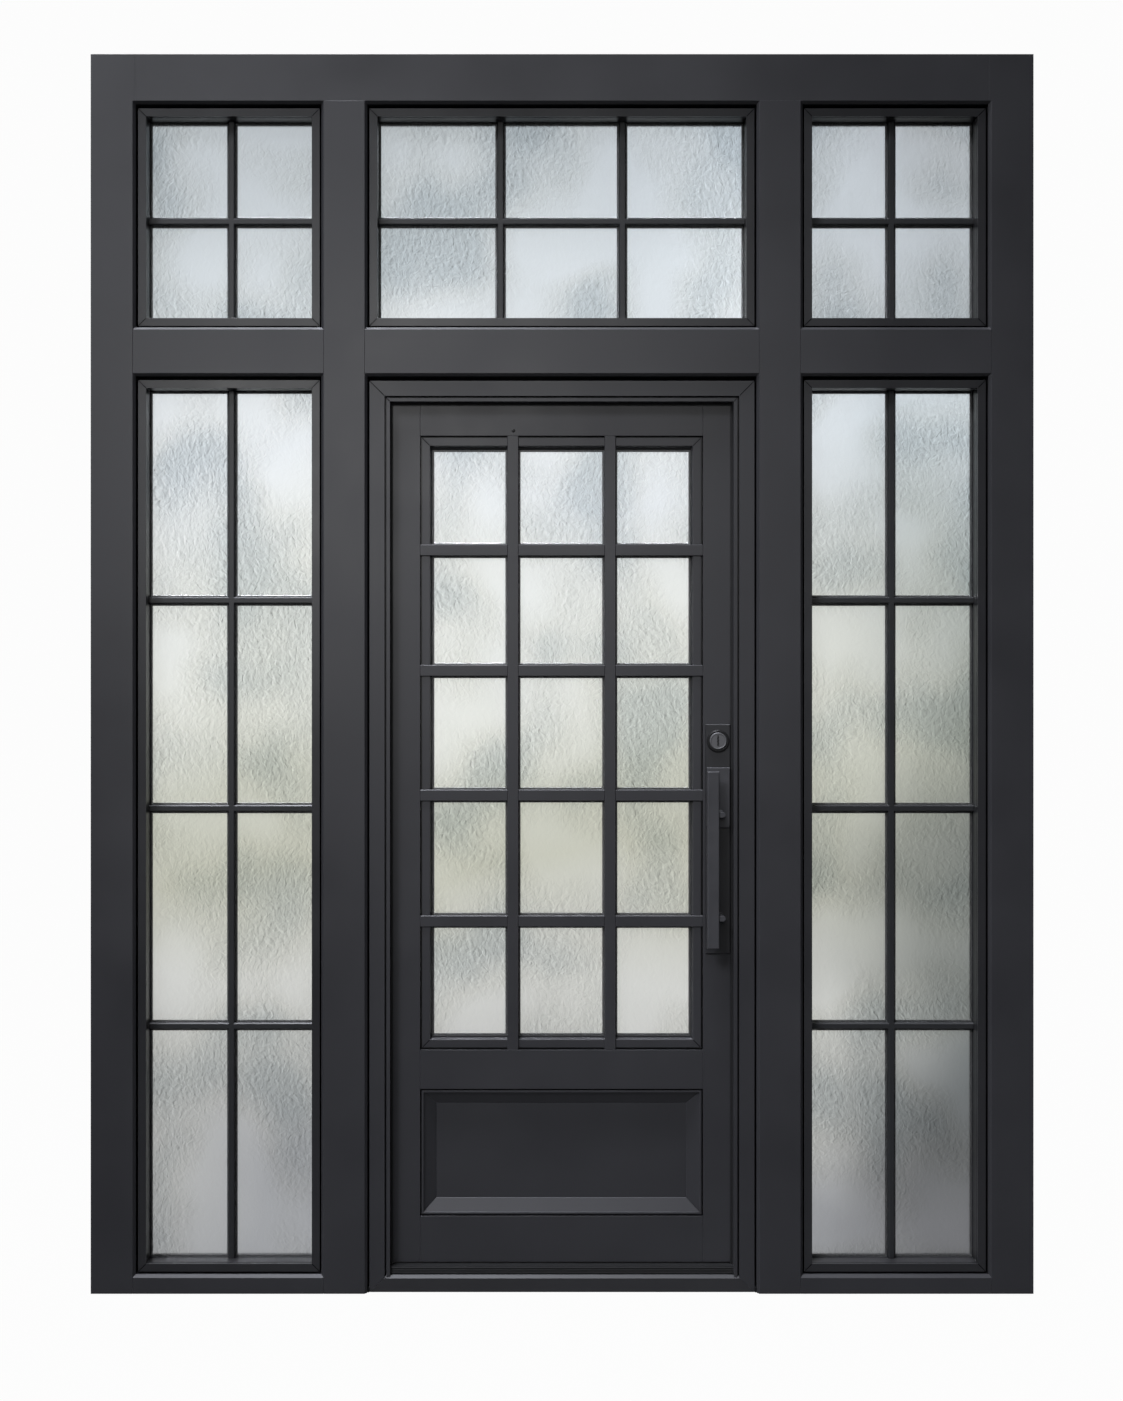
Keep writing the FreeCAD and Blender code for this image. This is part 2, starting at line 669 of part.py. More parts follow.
def leaf_bar_spans(beads):
    """Return the leaf's bars as separate straight pieces, halved over the beads."""
    half, bevel = LEAF_BAR_WIDTH / 2, LEAF_BAR_CHAMFER
    y_face, y_glass = LEAF_SETBACK, LEAF_SETBACK + LEAF_GLASS_SETBACK
    columns = (-LEAF_COLUMN_SPACING / 2, LEAF_COLUMN_SPACING / 2)
    z0, z1 = LIGHT_FOOT_Z + JOINT_GAP, LIGHT_TOP_Z - JOINT_GAP
    bars = []
    for x in columns:
        section = [
            (x - half, y_glass),
            (x - half, y_face + bevel),
            (x - half + bevel, y_face),
            (x + half - bevel, y_face),
            (x + half, y_face + bevel),
            (x + half, y_glass),
        ]
        bars.append(upright(section, z0, z1))
    clear = half + LEAF_BAR_JOINT
    spans = (
        (OPENING_LEFT_X + JOINT_GAP, columns[0] - clear),
        (columns[0] + clear, columns[1] - clear),
        (columns[1] + clear, OPENING_RIGHT_X - JOINT_GAP),
    )
    level = LIGHT_FOOT_Z
    for step in LEAF_ROW_STEPS:
        level += step
        section = [
            (y_glass, level - half),
            (y_face + bevel, level - half),
            (y_face, level - half + bevel),
            (y_face, level + half - bevel),
            (y_face + bevel, level + half),
            (y_glass, level + half),
        ]
        bars += [lengthwise(section, x0, x1) for x0, x1 in spans]
    return [bar.cut(beads) for bar in bars]


def make_leaf_glazing():
    """Return the leaf's glass, the beads on both faces and the bars on both faces."""
    x0, x1, z0, z1 = OPENING_LEFT_X, OPENING_RIGHT_X, LIGHT_FOOT_Z, LIGHT_TOP_Z
    outside = list(mitred_frame(x0, x1, z0, z1, bead_outline()).values())
    bars = leaf_bar_spans(Part.makeCompound(outside))
    gap = GLASS_EDGE_GAP
    glass = block(
        x0 + gap,
        x1 - gap,
        LEAF_SETBACK + LEAF_GLASS_SETBACK,
        LEAF_REAR_Y - LEAF_GLASS_SETBACK,
        z0 + gap,
        z1 - gap,
    )
    return {
        "glazing_beads": Part.makeCompound(outside + [mirrored_in_leaf(b) for b in outside]),
        "leaf_bars": Part.makeCompound(bars + [mirrored_in_leaf(b) for b in bars]),
        "leaf_glass": glass,
    }


def make_leaf_panel():
    """Return the sunk panel and the splayed mouldings that hold it on both faces."""
    x0, x1, z0, z1 = OPENING_LEFT_X, OPENING_RIGHT_X, PANEL_FOOT_Z, PANEL_TOP_Z
    rim = LEAF_SETBACK + PANEL_RIM_SETBACK
    flange = LEAF_SETBACK + BEAD_FLANGE_SETBACK
    field = LEAF_SETBACK + PANEL_SETBACK
    rim_inner = PANEL_GROOVE + PANEL_RIM
    outline = [
        (JOINT_GAP, flange),
        (PANEL_GROOVE, flange),
        (PANEL_GROOVE, rim),
        (rim_inner, rim),
        (rim_inner, rim + PANEL_RIM_STEP),
        (rim_inner + PANEL_SLOPE, field),
        (JOINT_GAP, field),
    ]
    outside = list(mitred_frame(x0, x1, z0, z1, outline).values())
    plate = block(
        x0 + JOINT_GAP,
        x1 - JOINT_GAP,
        field,
        LEAF_REAR_Y - PANEL_SETBACK,
        z0 + JOINT_GAP,
        z1 - JOINT_GAP,
    )
    return {
        "leaf_panel": plate,
        "panel_mouldings": Part.makeCompound(outside + [mirrored_in_leaf(m) for m in outside]),
    }


def hinge_centres():
    """Return the heights of the hinges' middles, evenly spread between the end margins."""
    low = LEAF_FOOT_Z + HINGE_END_MARGIN
    high = LEAF_TOP_Z - HINGE_END_MARGIN
    step = (high - low) / (HINGE_COUNT - 1)
    return [low + n * step for n in range(HINGE_COUNT)]


def hinge_plate(inner_x, outer_x, middle):
    """Return one flat hinge plate, let in beside the gap and reaching to the barrel."""
    y0 = FRAME_DEPTH - HINGE_PLATE_DEPTH
    half = HINGE_LENGTH / 2
    x0, x1 = min(inner_x, outer_x), max(inner_x, outer_x)
    return block(x0, x1, y0, HINGE_Y, middle - half, middle + half)


def hinge_pockets():
    """Return the pockets that take the plates, for the frame and for the stile."""
    frame_x = -REBATE_X
    frame = [hinge_plate(frame_x, frame_x - HINGE_PLATE, z) for z in hinge_centres()]
    stile = [hinge_plate(LEAF_LEFT_X, LEAF_LEFT_X + HINGE_PLATE, z) for z in hinge_centres()]
    return Part.makeCompound(frame), Part.makeCompound(stile)


def cylinder_z(radius, z0, z1):
    """Return an upright cylinder on the hinge axis."""
    return Part.makeCylinder(radius, z1 - z0, Vector(HINGE_X, HINGE_Y, z0))


def make_hinges():
    """Return the frame halves with their pins, and the leaf halves that turn on them."""
    frame_halves, leaf_halves = [], []
    pitch = HINGE_LENGTH / HINGE_KNUCKLES
    bore = HINGE_PIN_RADIUS + HINGE_PIN_CLEARANCE
    barrel = HINGE_BARREL_RADIUS
    for middle in hinge_centres():
        foot = middle - HINGE_LENGTH / 2
        top = foot + HINGE_LENGTH
        frame_half = hinge_plate(-REBATE_X, -REBATE_X - HINGE_PLATE, middle)
        leaf_half = hinge_plate(LEAF_LEFT_X, LEAF_LEFT_X + HINGE_PLATE, middle)
        for n in range(HINGE_KNUCKLES):
            z0, z1 = foot + n * pitch, foot + (n + 1) * pitch
            room = cylinder_z(barrel + HINGE_KNUCKLE_GAP, z0, z1)
            if n % 2 == 0:
                frame_half = frame_half.fuse(cylinder_z(barrel, z0, z1))
                leaf_half = leaf_half.cut(room)
            else:
                gap = HINGE_KNUCKLE_GAP
                leaf_half = leaf_half.fuse(cylinder_z(barrel, z0 + gap, z1 - gap))
                frame_half = frame_half.cut(room)
        leaf_half = leaf_half.cut(cylinder_z(bore, foot, top))
        frame_half = frame_half.fuse(cylinder_z(HINGE_PIN_RADIUS, foot, top))
        for z0 in (foot - HINGE_CAP_HEIGHT, top):
            frame_half = frame_half.fuse(cylinder_z(HINGE_CAP_RADIUS, z0, z0 + HINGE_CAP_HEIGHT))
        frame_halves.append(frame_half.removeSplitter())
        leaf_halves.append(leaf_half.removeSplitter())
    return {
        "frame_hinges": Part.makeCompound(frame_halves),
        "leaf_hinges": Part.makeCompound(leaf_halves),
    }


def edges_at_depth(shape, depth):
    """Return the edges that lie wholly at one depth."""
    found = []
    for edge in shape.Edges:
        box = edge.BoundBox
        if abs(box.YMin - depth) < 1e-6 and abs(box.YMax - depth) < 1e-6:
            found.append(edge)
    return found


def disc(radius, x, z, y0, y1):
    """Return a cylinder that runs from depth y0 to depth y1."""
    return Part.makeCylinder(radius, y1 - y0, Vector(x, y0, z), Vector(0, 1, 0))


def long_plate():
    """Return the bevelled long plate on the outdoor face."""
    x0, x1 = HANDLE_X - PLATE_WIDTH / 2, HANDLE_X + PLATE_WIDTH / 2
    plate = block(x0, x1, PLATE_Y, LEAF_SETBACK, PLATE_FOOT_HEIGHT, PLATE_TOP_Z)
    return plate.makeChamfer(PLATE_BEVEL, edges_at_depth(plate, PLATE_Y))


def raised_block():
    """Return the raised block on the long plate, with rounded lower corners."""
    y0 = PLATE_Y - BLOCK_THICKNESS
    x0, x1 = HANDLE_X - BLOCK_WIDTH / 2, HANDLE_X + BLOCK_WIDTH / 2
    foot = BLOCK_TOP_Z - BLOCK_LENGTH
    body = block(x0, x1, y0, PLATE_Y, foot, BLOCK_TOP_Z)
    corners = [
        e
        for e in body.Edges
        if e.BoundBox.ZMax < foot + BLOCK_EDGE and e.BoundBox.XMax - e.BoundBox.XMin < BLOCK_EDGE
    ]
    body = body.makeFillet(BLOCK_CORNER, corners)
    return body.makeChamfer(BLOCK_EDGE, edges_at_depth(body, y0))


def pull_posts_at(side):
    """Return the heights of the pull's two posts and the depth that each stands on."""
    block_face = PLATE_Y - BLOCK_THICKNESS if side == "outside" else PLATE_Y
    return (
        (PULL_FOOT_Z + LOWER_POST_ABOVE_PULL_FOOT, PLATE_Y),
        (PULL_TOP_Z - UPPER_POST_BELOW_PULL_TOP, block_face),
    )


def pull(side):
    """Return the flat pull bar with the two round posts that hold it off the plate."""
    y1 = PLATE_Y - PULL_STANDOFF
    y0 = y1 - PULL_THICKNESS
    middle = HANDLE_X - PULL_OFFSET
    half = PULL_WIDTH / 2
    bar = block(middle - half, middle + half, y0, y1, PULL_FOOT_Z, PULL_TOP_Z)
    bar = bar.makeChamfer(PULL_EDGE, edges_at_depth(bar, y0))
    post_x = HANDLE_X + POST_OFFSET
    arm_y = y1 - POST_ARM_THICKNESS
    for z, seat in pull_posts_at(side):
        arm = block(middle, post_x, arm_y, y1, z - POST_RADIUS, z + POST_RADIUS)
        post = disc(POST_RADIUS, post_x, z, arm_y, seat)
        base = disc(POST_BASE_RADIUS, post_x, z, seat - POST_BASE_HEIGHT, seat)
        bar = bar.fuse([arm, post, base])
    return bar.removeSplitter()


def make_outside_handle():
    """Return the outdoor plate, block, pull, cylinder collar and the plug that turns in it."""
    y_front = PLATE_Y - COLLAR_HEIGHT
    y_floor = PLATE_Y - COLLAR_FLOOR
    x, z = HANDLE_X, CYLINDER_Z
    collar = disc(COLLAR_RADIUS, x, z, y_front, PLATE_Y)
    collar = collar.makeChamfer(TURNED_EDGE, edges_at_depth(collar, y_front))
    collar = collar.cut(disc(COLLAR_BORE_RADIUS, x, z, y_front, y_floor))
    collar = collar.cut(disc(SPINDLE_RADIUS + SPINDLE_CLEARANCE, x, z, y_front, PLATE_Y))
    plug_front = y_front - PLUG_PROUD
    plug_rear = y_floor - PLUG_AXIAL_CLEARANCE
    plug = disc(PLUG_RADIUS, x, z, plug_front, plug_rear)
    plug = plug.makeChamfer(TURNED_EDGE, edges_at_depth(plug, plug_front))
    plug = plug.fuse(disc(SPINDLE_RADIUS, x, z, plug_rear, PLATE_Y - PLUG_AXIAL_CLEARANCE))
    half_w, half_l = KEYWAY_WIDTH / 2, KEYWAY_LENGTH / 2
    straight = half_l - half_w
    slot = through(
        [
            (x - half_w, z - straight),
            (x, z - half_l),
            (x + half_w, z - straight),
            (x + half_w, z + straight),
            (x, z + half_l),
            (x - half_w, z + straight),
        ],
        plug_front,
        plug_front + KEYWAY_DEPTH,
    )
    return {
        "handle_plate": long_plate(),
        "handle_block": raised_block(),
        "pull_bar": pull("outside"),
        "lock_cylinder": collar,
        "key_plug": plug.cut(slot).removeSplitter(),
    }


def make_inside_handle():
    """Return the indoor plate with its pull and thumb turn, as one piece."""
    x, z = HANDLE_X, CYLINDER_Z
    rose_front = PLATE_Y - THUMB_TURN_HEIGHT
    turn = disc(THUMB_TURN_RADIUS, x, z, rose_front, PLATE_Y)
    turn = turn.makeChamfer(TURNED_EDGE, edges_at_depth(turn, rose_front))
    half_w, half_l = THUMB_BLADE_WIDTH / 2, THUMB_TURN_RADIUS
    blade = block(
        x - half_w, x + half_w, rose_front - THUMB_BLADE_HEIGHT, rose_front, z - half_l, z + half_l
    )
    whole = long_plate().fuse(pull("inside")).fuse(turn).fuse(blade).removeSplitter()
    return {"inner_handle": mirrored_in_leaf(whole)}


def make_all():
    """Return every piece of the entrance by its name."""
    frame_pockets, stile_pockets = hinge_pockets()
    pieces = make_outer_frame()
    pieces.update(make_fixed_lights())
    pieces.update(make_door_frame(frame_pockets))
    pieces["door_seal"] = make_door_seal()
    pieces.update(make_leaf_frame(stile_pockets))
    pieces.update(make_leaf_glazing())
    pieces.update(make_leaf_panel())
    pieces.update(make_hinges())
    pieces.update(make_outside_handle())
    pieces.update(make_inside_handle())
    return pieces


def main():
    """Write one STEP file for each piece and print its volume."""
    os.makedirs("parts", exist_ok=True)
    for name, shape in make_all().items():
        placed = shape.copy()
        placed.translate(Vector(0, -FRAME_DEPTH / 2, 0))
        placed.exportStep("parts/" + name + ".step")
        print(f"{name}: {len(placed.Solids)} solids, {placed.Volume / 1e9:.5f} m3, {placed.isValid()}")


main()
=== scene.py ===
import logging
import math
from dataclasses import dataclass, field
from enum import Enum
from typing import Any, Optional, Protocol, Sequence

import bpy
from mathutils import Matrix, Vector


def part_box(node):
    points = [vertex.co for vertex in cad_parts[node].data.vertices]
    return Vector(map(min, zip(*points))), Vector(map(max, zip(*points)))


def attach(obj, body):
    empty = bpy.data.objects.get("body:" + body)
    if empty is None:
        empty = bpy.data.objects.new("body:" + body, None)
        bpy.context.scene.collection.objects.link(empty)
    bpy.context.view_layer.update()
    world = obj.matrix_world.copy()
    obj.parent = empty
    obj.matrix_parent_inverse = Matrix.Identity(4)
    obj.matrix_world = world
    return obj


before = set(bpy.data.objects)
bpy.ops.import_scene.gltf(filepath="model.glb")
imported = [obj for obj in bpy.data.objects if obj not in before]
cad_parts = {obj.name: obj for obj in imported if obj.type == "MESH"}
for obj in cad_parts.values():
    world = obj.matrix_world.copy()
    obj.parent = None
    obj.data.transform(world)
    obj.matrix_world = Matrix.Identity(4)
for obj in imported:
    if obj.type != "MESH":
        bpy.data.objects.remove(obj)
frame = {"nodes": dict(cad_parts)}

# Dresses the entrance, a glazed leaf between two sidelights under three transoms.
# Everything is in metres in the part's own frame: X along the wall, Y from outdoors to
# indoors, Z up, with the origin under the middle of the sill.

logging.basicConfig(level=logging.INFO, format="%(message)s")
log = logging.getLogger("entrance")

MM = 0.001
# Paint, rubber and glass all bend light about as much.
IOR = 1.5
# The sockets of a mix node, which has its own for colours and for numbers.
COLOUR_A, COLOUR_B, MIXED_COLOUR = 6, 7, 2
NUMBER_A, NUMBER_B, MIXED_NUMBER = 2, 3, 0
Point = tuple[float, float]
Corner = tuple[float, float, float]
Material = bpy.types.Material


class Body(Enum):
    """The moving bodies that a piece can ride on."""

    FRAME = "root"
    LEAF = "leaf"
    PLUG = "plug"


class Slot(Enum):
    """The record's material slots, named beside two of the scene's own pieces but not given to
    any.
    """

    GLASS = "obscure_glass"
    RUBBER = "seal_rubber"
    HANDLE = "handle_black"
    PLUG = "plug_grey"


def linear(code: str) -> tuple[float, float, float, float]:
    """Turn an sRGB colour into the linear one that shaders take.

    Args:
        code: The colour as "#rrggbb".

    Returns:
        Red, green, blue and an alpha of 1.
    """
    channels = [int(code[i : i + 2], 16) / 255 for i in (1, 3, 5)]
    r, g, b = [c / 12.92 if c <= 0.04045 else ((c + 0.055) / 1.055) ** 2.4 for c in channels]
    return (r, g, b, 1.0)


def add_node(
    owner: bpy.types.ID, kind: str, inputs: Optional[dict[Any, Any]] = None, **settings: Any
) -> bpy.types.Node:
    """Add one shader node, set it up and link what feeds it.

    Args:
        owner: The material or world whose node tree takes the node.
        kind: The node's type after "ShaderNode", such as "Mix".
        inputs: A value or an output socket for each named or numbered input.
        settings: Properties of the node itself.

    Returns:
        The new node.
    """
    tree = owner.node_tree
    node = tree.nodes.new("ShaderNode" + kind)
    for name, value in settings.items():
        setattr(node, name, value)
    for key, value in (inputs or {}).items():
        if isinstance(value, bpy.types.NodeSocket):
            tree.links.new(value, node.inputs[key])
        else:
            node.inputs[key].default_value = value
    return node


def blank_material(name: str) -> Material:
    """Return a new material with an empty node tree."""
    material = bpy.data.materials.new(name)
    material.use_nodes = True
    material.node_tree.nodes.clear()
    return material


def straight_rays(owner: bpy.types.ID, path: bpy.types.Node) -> bpy.types.NodeSocket:
    """Tell the rays that come straight from the camera, or through the glass.

    Args:
        owner: The material or world.
        path: Its light path node.

    Returns:
        A socket that is 1 for them and 0 for all others.
    """
    inputs = {0: path.outputs["Is Camera Ray"], 1: path.outputs["Is Transmission Ray"]}
    both = add_node(owner, "Math", inputs, operation="ADD", use_clamp=True)
    return both.outputs[0]


def spans(value: Any, taken: Point, given: Point = (0.0, 1.0)) -> dict[str, Any]:
    """Return the inputs of a map range node: a value, the span it comes in and the one given."""
    ends = ("From Min", "From Max", "To Min", "To Max")
    return {"Value": value, **dict(zip(ends, taken + given))}


def set_ramp(node: bpy.types.Node, stops: Sequence[tuple[float, str]]) -> None:
    """Give a colour ramp its stops.

    Args:
        node: The colour ramp node.
        stops: Place from 0 to 1 and sRGB colour of each stop, in rising order.
    """
    elements = node.color_ramp.elements
    while len(elements) > 1:
        elements.remove(elements[-1])
    elements[0].position, elements[0].color = stops[0][0], linear(stops[0][1])
    for place, code in stops[1:]:
        elements.new(place).color = linear(code)


@dataclass(frozen=True)
class PowderCoat:
    """Satin polyester powder coat on aluminium cladding.

    The powder melts into an even film with a very fine orange peel, so the eye gets a soft,
    wide sheen with no sparkle, and arrises that are a little rounded and catch the light.
    The arrises are also painted paler, a painted highlight, and grooves and corners are
    painted darker, a painted shade.
    """

    name: str
    colour: str
    roughness: float = 0.42
    sheen_patch: float = 0.05
    peel_mm: float = 1.6
    cloud_mm: float = 260.0
    arris_mm: float = 1.2
    arris_highlight: float = 0.7
    groove_mm: float = 12.0
    cloud_span: Point = (0.3, 0.7)
    drift: Point = (0.93, 1.07)
    arris_turn: Point = (0.98, 0.85)
    highlight_gain: float = 3.2
    highlight_lift: float = 0.01
    groove_span: Point = (0.25, 0.75)
    groove_shade: float = 0.12
    peel_strength: float = 0.12
    peel_rise_mm: float = 0.1

    def material(self) -> Material:
        """Return the coat as a material."""
        m = blank_material(self.name)
        place = add_node(m, "TexCoord").outputs["Object"]
        # Film thickness drifts over a few hundred millimetres of a sprayed length.
        cloud = add_node(
            m,
            "TexNoise",
            {"Vector": place, "Scale": 1000 / self.cloud_mm, "Detail": 4.0, "Roughness": 0.55},
        )
        tone = add_node(m, "ValToRGB", {"Fac": cloud.outputs["Fac"]})
        base = linear(self.colour)
        for stop, at, share in zip(tone.color_ramp.elements, self.cloud_span, self.drift):
            stop.position, stop.color = at, [c * share for c in base[:3]] + [1.0]
        sheen = (self.roughness - self.sheen_patch, self.roughness + self.sheen_patch)
        gloss = add_node(m, "MapRange", spans(cloud.outputs["Fac"], self.cloud_span, sheen))
        # Orange peel is about 1 mm across. It is drawn a little coarser so that it shows.
        peel = add_node(
            m, "TexNoise", {"Vector": place, "Scale": 1000 / self.peel_mm, "Detail": 2.0}
        )
        arris = add_node(m, "Bevel", {"Radius": self.arris_mm * MM}, samples=4)
        # Painted highlight: the arrises are painted paler, standing in for the light they catch,
        # and are shaded as slightly rounded.
        flat = add_node(m, "NewGeometry").outputs["True Normal"]
        turn = add_node(
            m, "VectorMath", {0: arris.outputs["Normal"], 1: flat}, operation="DOT_PRODUCT"
        )
        made_paler = add_node(
            m, "MapRange", spans(turn.outputs["Value"], self.arris_turn, (0.0, self.arris_highlight))
        )
        highlight_colour = [min(1.0, c * self.highlight_gain + self.highlight_lift) for c in base[:3]] + [1.0]
        wear_and_highlight = add_node(
            m,
            "Mix",
            {"Factor": made_paler.outputs["Result"], COLOUR_A: tone.outputs["Color"], COLOUR_B: highlight_colour},
            data_type="RGBA",
        )
        # Painted shade: grooves and corners are painted darker, standing in for the shade that
        # falls in them.
        depth = add_node(m, "AmbientOcclusion", {"Distance": self.groove_mm * MM}, samples=4)
        painted_groove_shade = add_node(
            m, "MapRange", spans(depth.outputs["AO"], self.groove_span, (self.groove_shade, 1.0))
        )
        groove_shaded_colour = add_node(
            m,
            "VectorMath",
            {0: wear_and_highlight.outputs[MIXED_COLOUR], "Scale": painted_groove_shade.outputs["Result"]},
            operation="SCALE",
        )
        bump = add_node(
            m,
            "Bump",
            {
                "Height": peel.outputs["Fac"],
                "Strength": self.peel_strength,
                "Distance": self.peel_rise_mm * MM,
                "Normal": arris.outputs["Normal"],
            },
        )
        shader = add_node(
            m,
            "BsdfPrincipled",
            {
                "Base Color": groove_shaded_colour.outputs["Vector"],
                "Roughness": gloss.outputs["Result"],
                "Normal": bump.outputs["Normal"],
                "IOR": IOR,
            },
        )
        add_node(m, "OutputMaterial", {"Surface": shader.outputs["BSDF"]})
        return m


@dataclass(frozen=True)
class ObscureGlass:
    """Hammered obscure glass, rolled between a plain and a patterned roller.

    The shallow waves scatter what lies behind into soft clouds of light. That light is
    painted into the sheet's colour: darker low down and on the right, brightest at middle
    heights, a little greener at lower middle heights and cooler higher up, with short wet
    crests that run aslant and show in the darker patches.
    """

    name: str
    crest_mm: float = 11.0
    crest_run_mm: float = 15.0
    swell_mm: float = 140.0
    cloud_mm: float = 900.0
    patch_mm: float = 330.0
    roughness: float = 0.32
    clearness: float = 0.9
    whiteness: float = 0.0
    shade: float = 1.0
    top_m: float = 3.2
    side_m: Point = (0.58, 1.08)
    cloud_bend: float = 1.1
    swell_bend: float = 0.05
    crest_lean_deg: float = 40.0
    crest_rise_mm: float = 1.2
    feel_mm: float = 1.6
    patch_span: Point = (0.42, 0.60)
    crest_share: Point = (1.0, 0.08)
    flank_slope: Point = (-0.1, 0.1)
    flank_tone: Point = (0.74, 1.24)

    def paint_light_behind(self, m: Material, shifted: bpy.types.NodeSocket) -> Any:
        """Paint the light behind into the sheet's colour, by height and side.

        Args:
            m: The material.
            shifted: Place in metres, already bent by the clouds.

        Returns:
            The socket of the tint.
        """
        parts = add_node(m, "SeparateXYZ", {"Vector": shifted})
        height = add_node(m, "MapRange", spans(parts.outputs["Z"], (0.0, self.top_m)))
        # Painted light and shade: a lit ramp for the left of the entrance and a shaded one for the
        # right, each darker low down, brightest at middle heights and darker again at the top.
        painted_lit_side = add_node(m, "ValToRGB", {"Fac": height.outputs["Result"]})
        set_ramp(
            painted_lit_side,
            [
                (0.05, "#b0b2b5"),
                (0.14, "#cfd0ce"),
                (0.25, "#e3e4e0"),
                (0.36, "#d6d7c9"),
                (0.45, "#dee0d4"),
                (0.53, "#f4f6f0"),
                (0.66, "#f4f9fd"),
                (0.74, "#f3f8fb"),
                (0.86, "#dce3e7"),
                (0.96, "#d0d7dc"),
            ],
        )
        painted_shaded_side = add_node(m, "ValToRGB", {"Fac": height.outputs["Result"]})
        set_ramp(
            painted_shaded_side,
            [
                (0.05, "#808184"),
                (0.14, "#767879"),
                (0.25, "#7c8182"),
                (0.36, "#969a95"),
                (0.45, "#acb0a6"),
                (0.60, "#c2c8c4"),
                (0.72, "#d2dade"),
                (0.92, "#babfc2"),
            ],
        )
        side = add_node(
            m, "MapRange", spans(parts.outputs["X"], self.side_m), interpolation_type="SMOOTHSTEP"
        )
        mixed = add_node(
            m,
            "Mix",
            {
                "Factor": side.outputs["Result"],
                COLOUR_A: painted_lit_side.outputs["Color"],
                COLOUR_B: painted_shaded_side.outputs["Color"],
            },
            data_type="RGBA",
        )
        paler = add_node(
            m,
            "Mix",
            {
                "Factor": self.whiteness,
                COLOUR_A: mixed.outputs[MIXED_COLOUR],
                COLOUR_B: linear("#ffffff"),
            },
            data_type="RGBA",
        )
        return paler.outputs[MIXED_COLOUR]

    def crest(self, m: Material, bent: Any, step_mm: float) -> Any:
        """Draw the rolled crests, short and aslant.

        Args:
            m: The material.
            bent: Place in metres, bent by the swell.
            step_mm: How far the sheet is felt from the place, to the left and up.

        Returns:
            The socket of the sheet's height there, about 0.3 to 0.7.
        """
        aslant = add_node(
            m,
            "Mapping",
            {
                "Vector": bent,
                "Location": (-step_mm * MM, 0.0, step_mm * MM),
                "Rotation": (0.0, math.radians(self.crest_lean_deg), 0.0),
                "Scale": (1.0, 1.0, self.crest_mm / self.crest_run_mm),
            },
        )
        wave = add_node(
            m,
            "TexNoise",
            {
                "Vector": aslant.outputs["Vector"],
                "Scale": 1000 / self.crest_mm,
                "Detail": 1.0,
                "Roughness": 0.5,
                "Distortion": 0.7,
            },
        )
        return wave.outputs["Fac"]

    def material(self) -> Material:
        """Return the glass as a material."""
        m = blank_material(self.name)
        place = add_node(m, "TexCoord").outputs["Object"]
        # Soft clouds of the light behind, nearly a metre across.
        cloud = add_node(
            m,
            "TexNoise",
            {"Vector": place, "Scale": 1000 / self.cloud_mm, "Detail": 2.5, "Roughness": 0.45},
        )
        middle = (0.5, 0.5, 0.5)
        spread = add_node(
            m, "VectorMath", {0: cloud.outputs["Color"], 1: middle}, operation="SUBTRACT"
        )
        shifted = add_node(
            m,
            "VectorMath",
            {0: spread.outputs["Vector"], 1: (self.cloud_bend,) * 3, 2: place},
            operation="MULTIPLY_ADD",
        )
        sheet = self.paint_light_behind(m, shifted.outputs["Vector"])
        # Smaller patches of it are warmer and lighter, or cooler and darker.
        patch = add_node(
            m,
            "TexNoise",
            {"Vector": place, "Scale": 1000 / self.patch_mm, "Detail": 1.5, "Roughness": 0.5},
        )
        warmth = add_node(m, "ValToRGB", {"Fac": patch.outputs["Fac"]})
        set_ramp(warmth, [(0.36, "#d8dcdd"), (0.5, "#f3f3f1"), (0.60, "#ffffff")])
        patched = add_node(
            m,
            "Mix",
            {"Factor": 1.0, COLOUR_A: sheet, COLOUR_B: warmth.outputs["Color"]},
            data_type="RGBA",
            blend_type="MULTIPLY",
        )
        swell = add_node(
            m, "TexNoise", {"Vector": place, "Scale": 1000 / self.swell_mm, "Detail": 1.0}
        )
        bent = add_node(
            m,
            "VectorMath",
            {0: swell.outputs["Color"], 1: (self.swell_bend,) * 3, 2: place},
            operation="MULTIPLY_ADD",
        ).outputs["Vector"]
        crest = self.crest(m, bent, 0.0)
        slope = add_node(
            m, "Math", {0: self.crest(m, bent, self.feel_mm), 1: crest}, operation="SUBTRACT"
        )
        # Crests catch the light on one flank, strongly in some patches only.
        depth = add_node(
            m, "MapRange", spans(patch.outputs["Fac"], self.patch_span, self.crest_share)
        )
        lit = add_node(
            m, "MapRange", spans(slope.outputs[0], self.flank_slope, self.flank_tone), clamp=False
        )
        shown = add_node(
            m,
            "Mix",
            {"Factor": depth.outputs["Result"], NUMBER_A: 1.0, NUMBER_B: lit.outputs["Result"]},
            data_type="FLOAT",
        )
        tint = add_node(
            m,
            "VectorMath",
            {0: patched.outputs[MIXED_COLOUR], "Scale": shown.outputs[MIXED_NUMBER]},
            operation="SCALE",
        )
        shaded = add_node(
            m, "VectorMath", {0: tint.outputs["Vector"], "Scale": self.shade}, operation="SCALE"
        )
        bump = add_node(
            m,
            "Bump",
            {
                "Height": crest,
                "Strength": depth.outputs["Result"],
                "Distance": self.crest_rise_mm * MM,
            },
        )
        shader = add_node(
            m,
            "BsdfPrincipled",
            {
                "Base Color": shaded.outputs["Vector"],
                "Roughness": self.roughness,
                "IOR": IOR,
                "Transmission Weight": self.clearness,
                "Normal": bump.outputs["Normal"],
            },
        )
        add_node(m, "OutputMaterial", {"Surface": shader.outputs["BSDF"]})
        return m


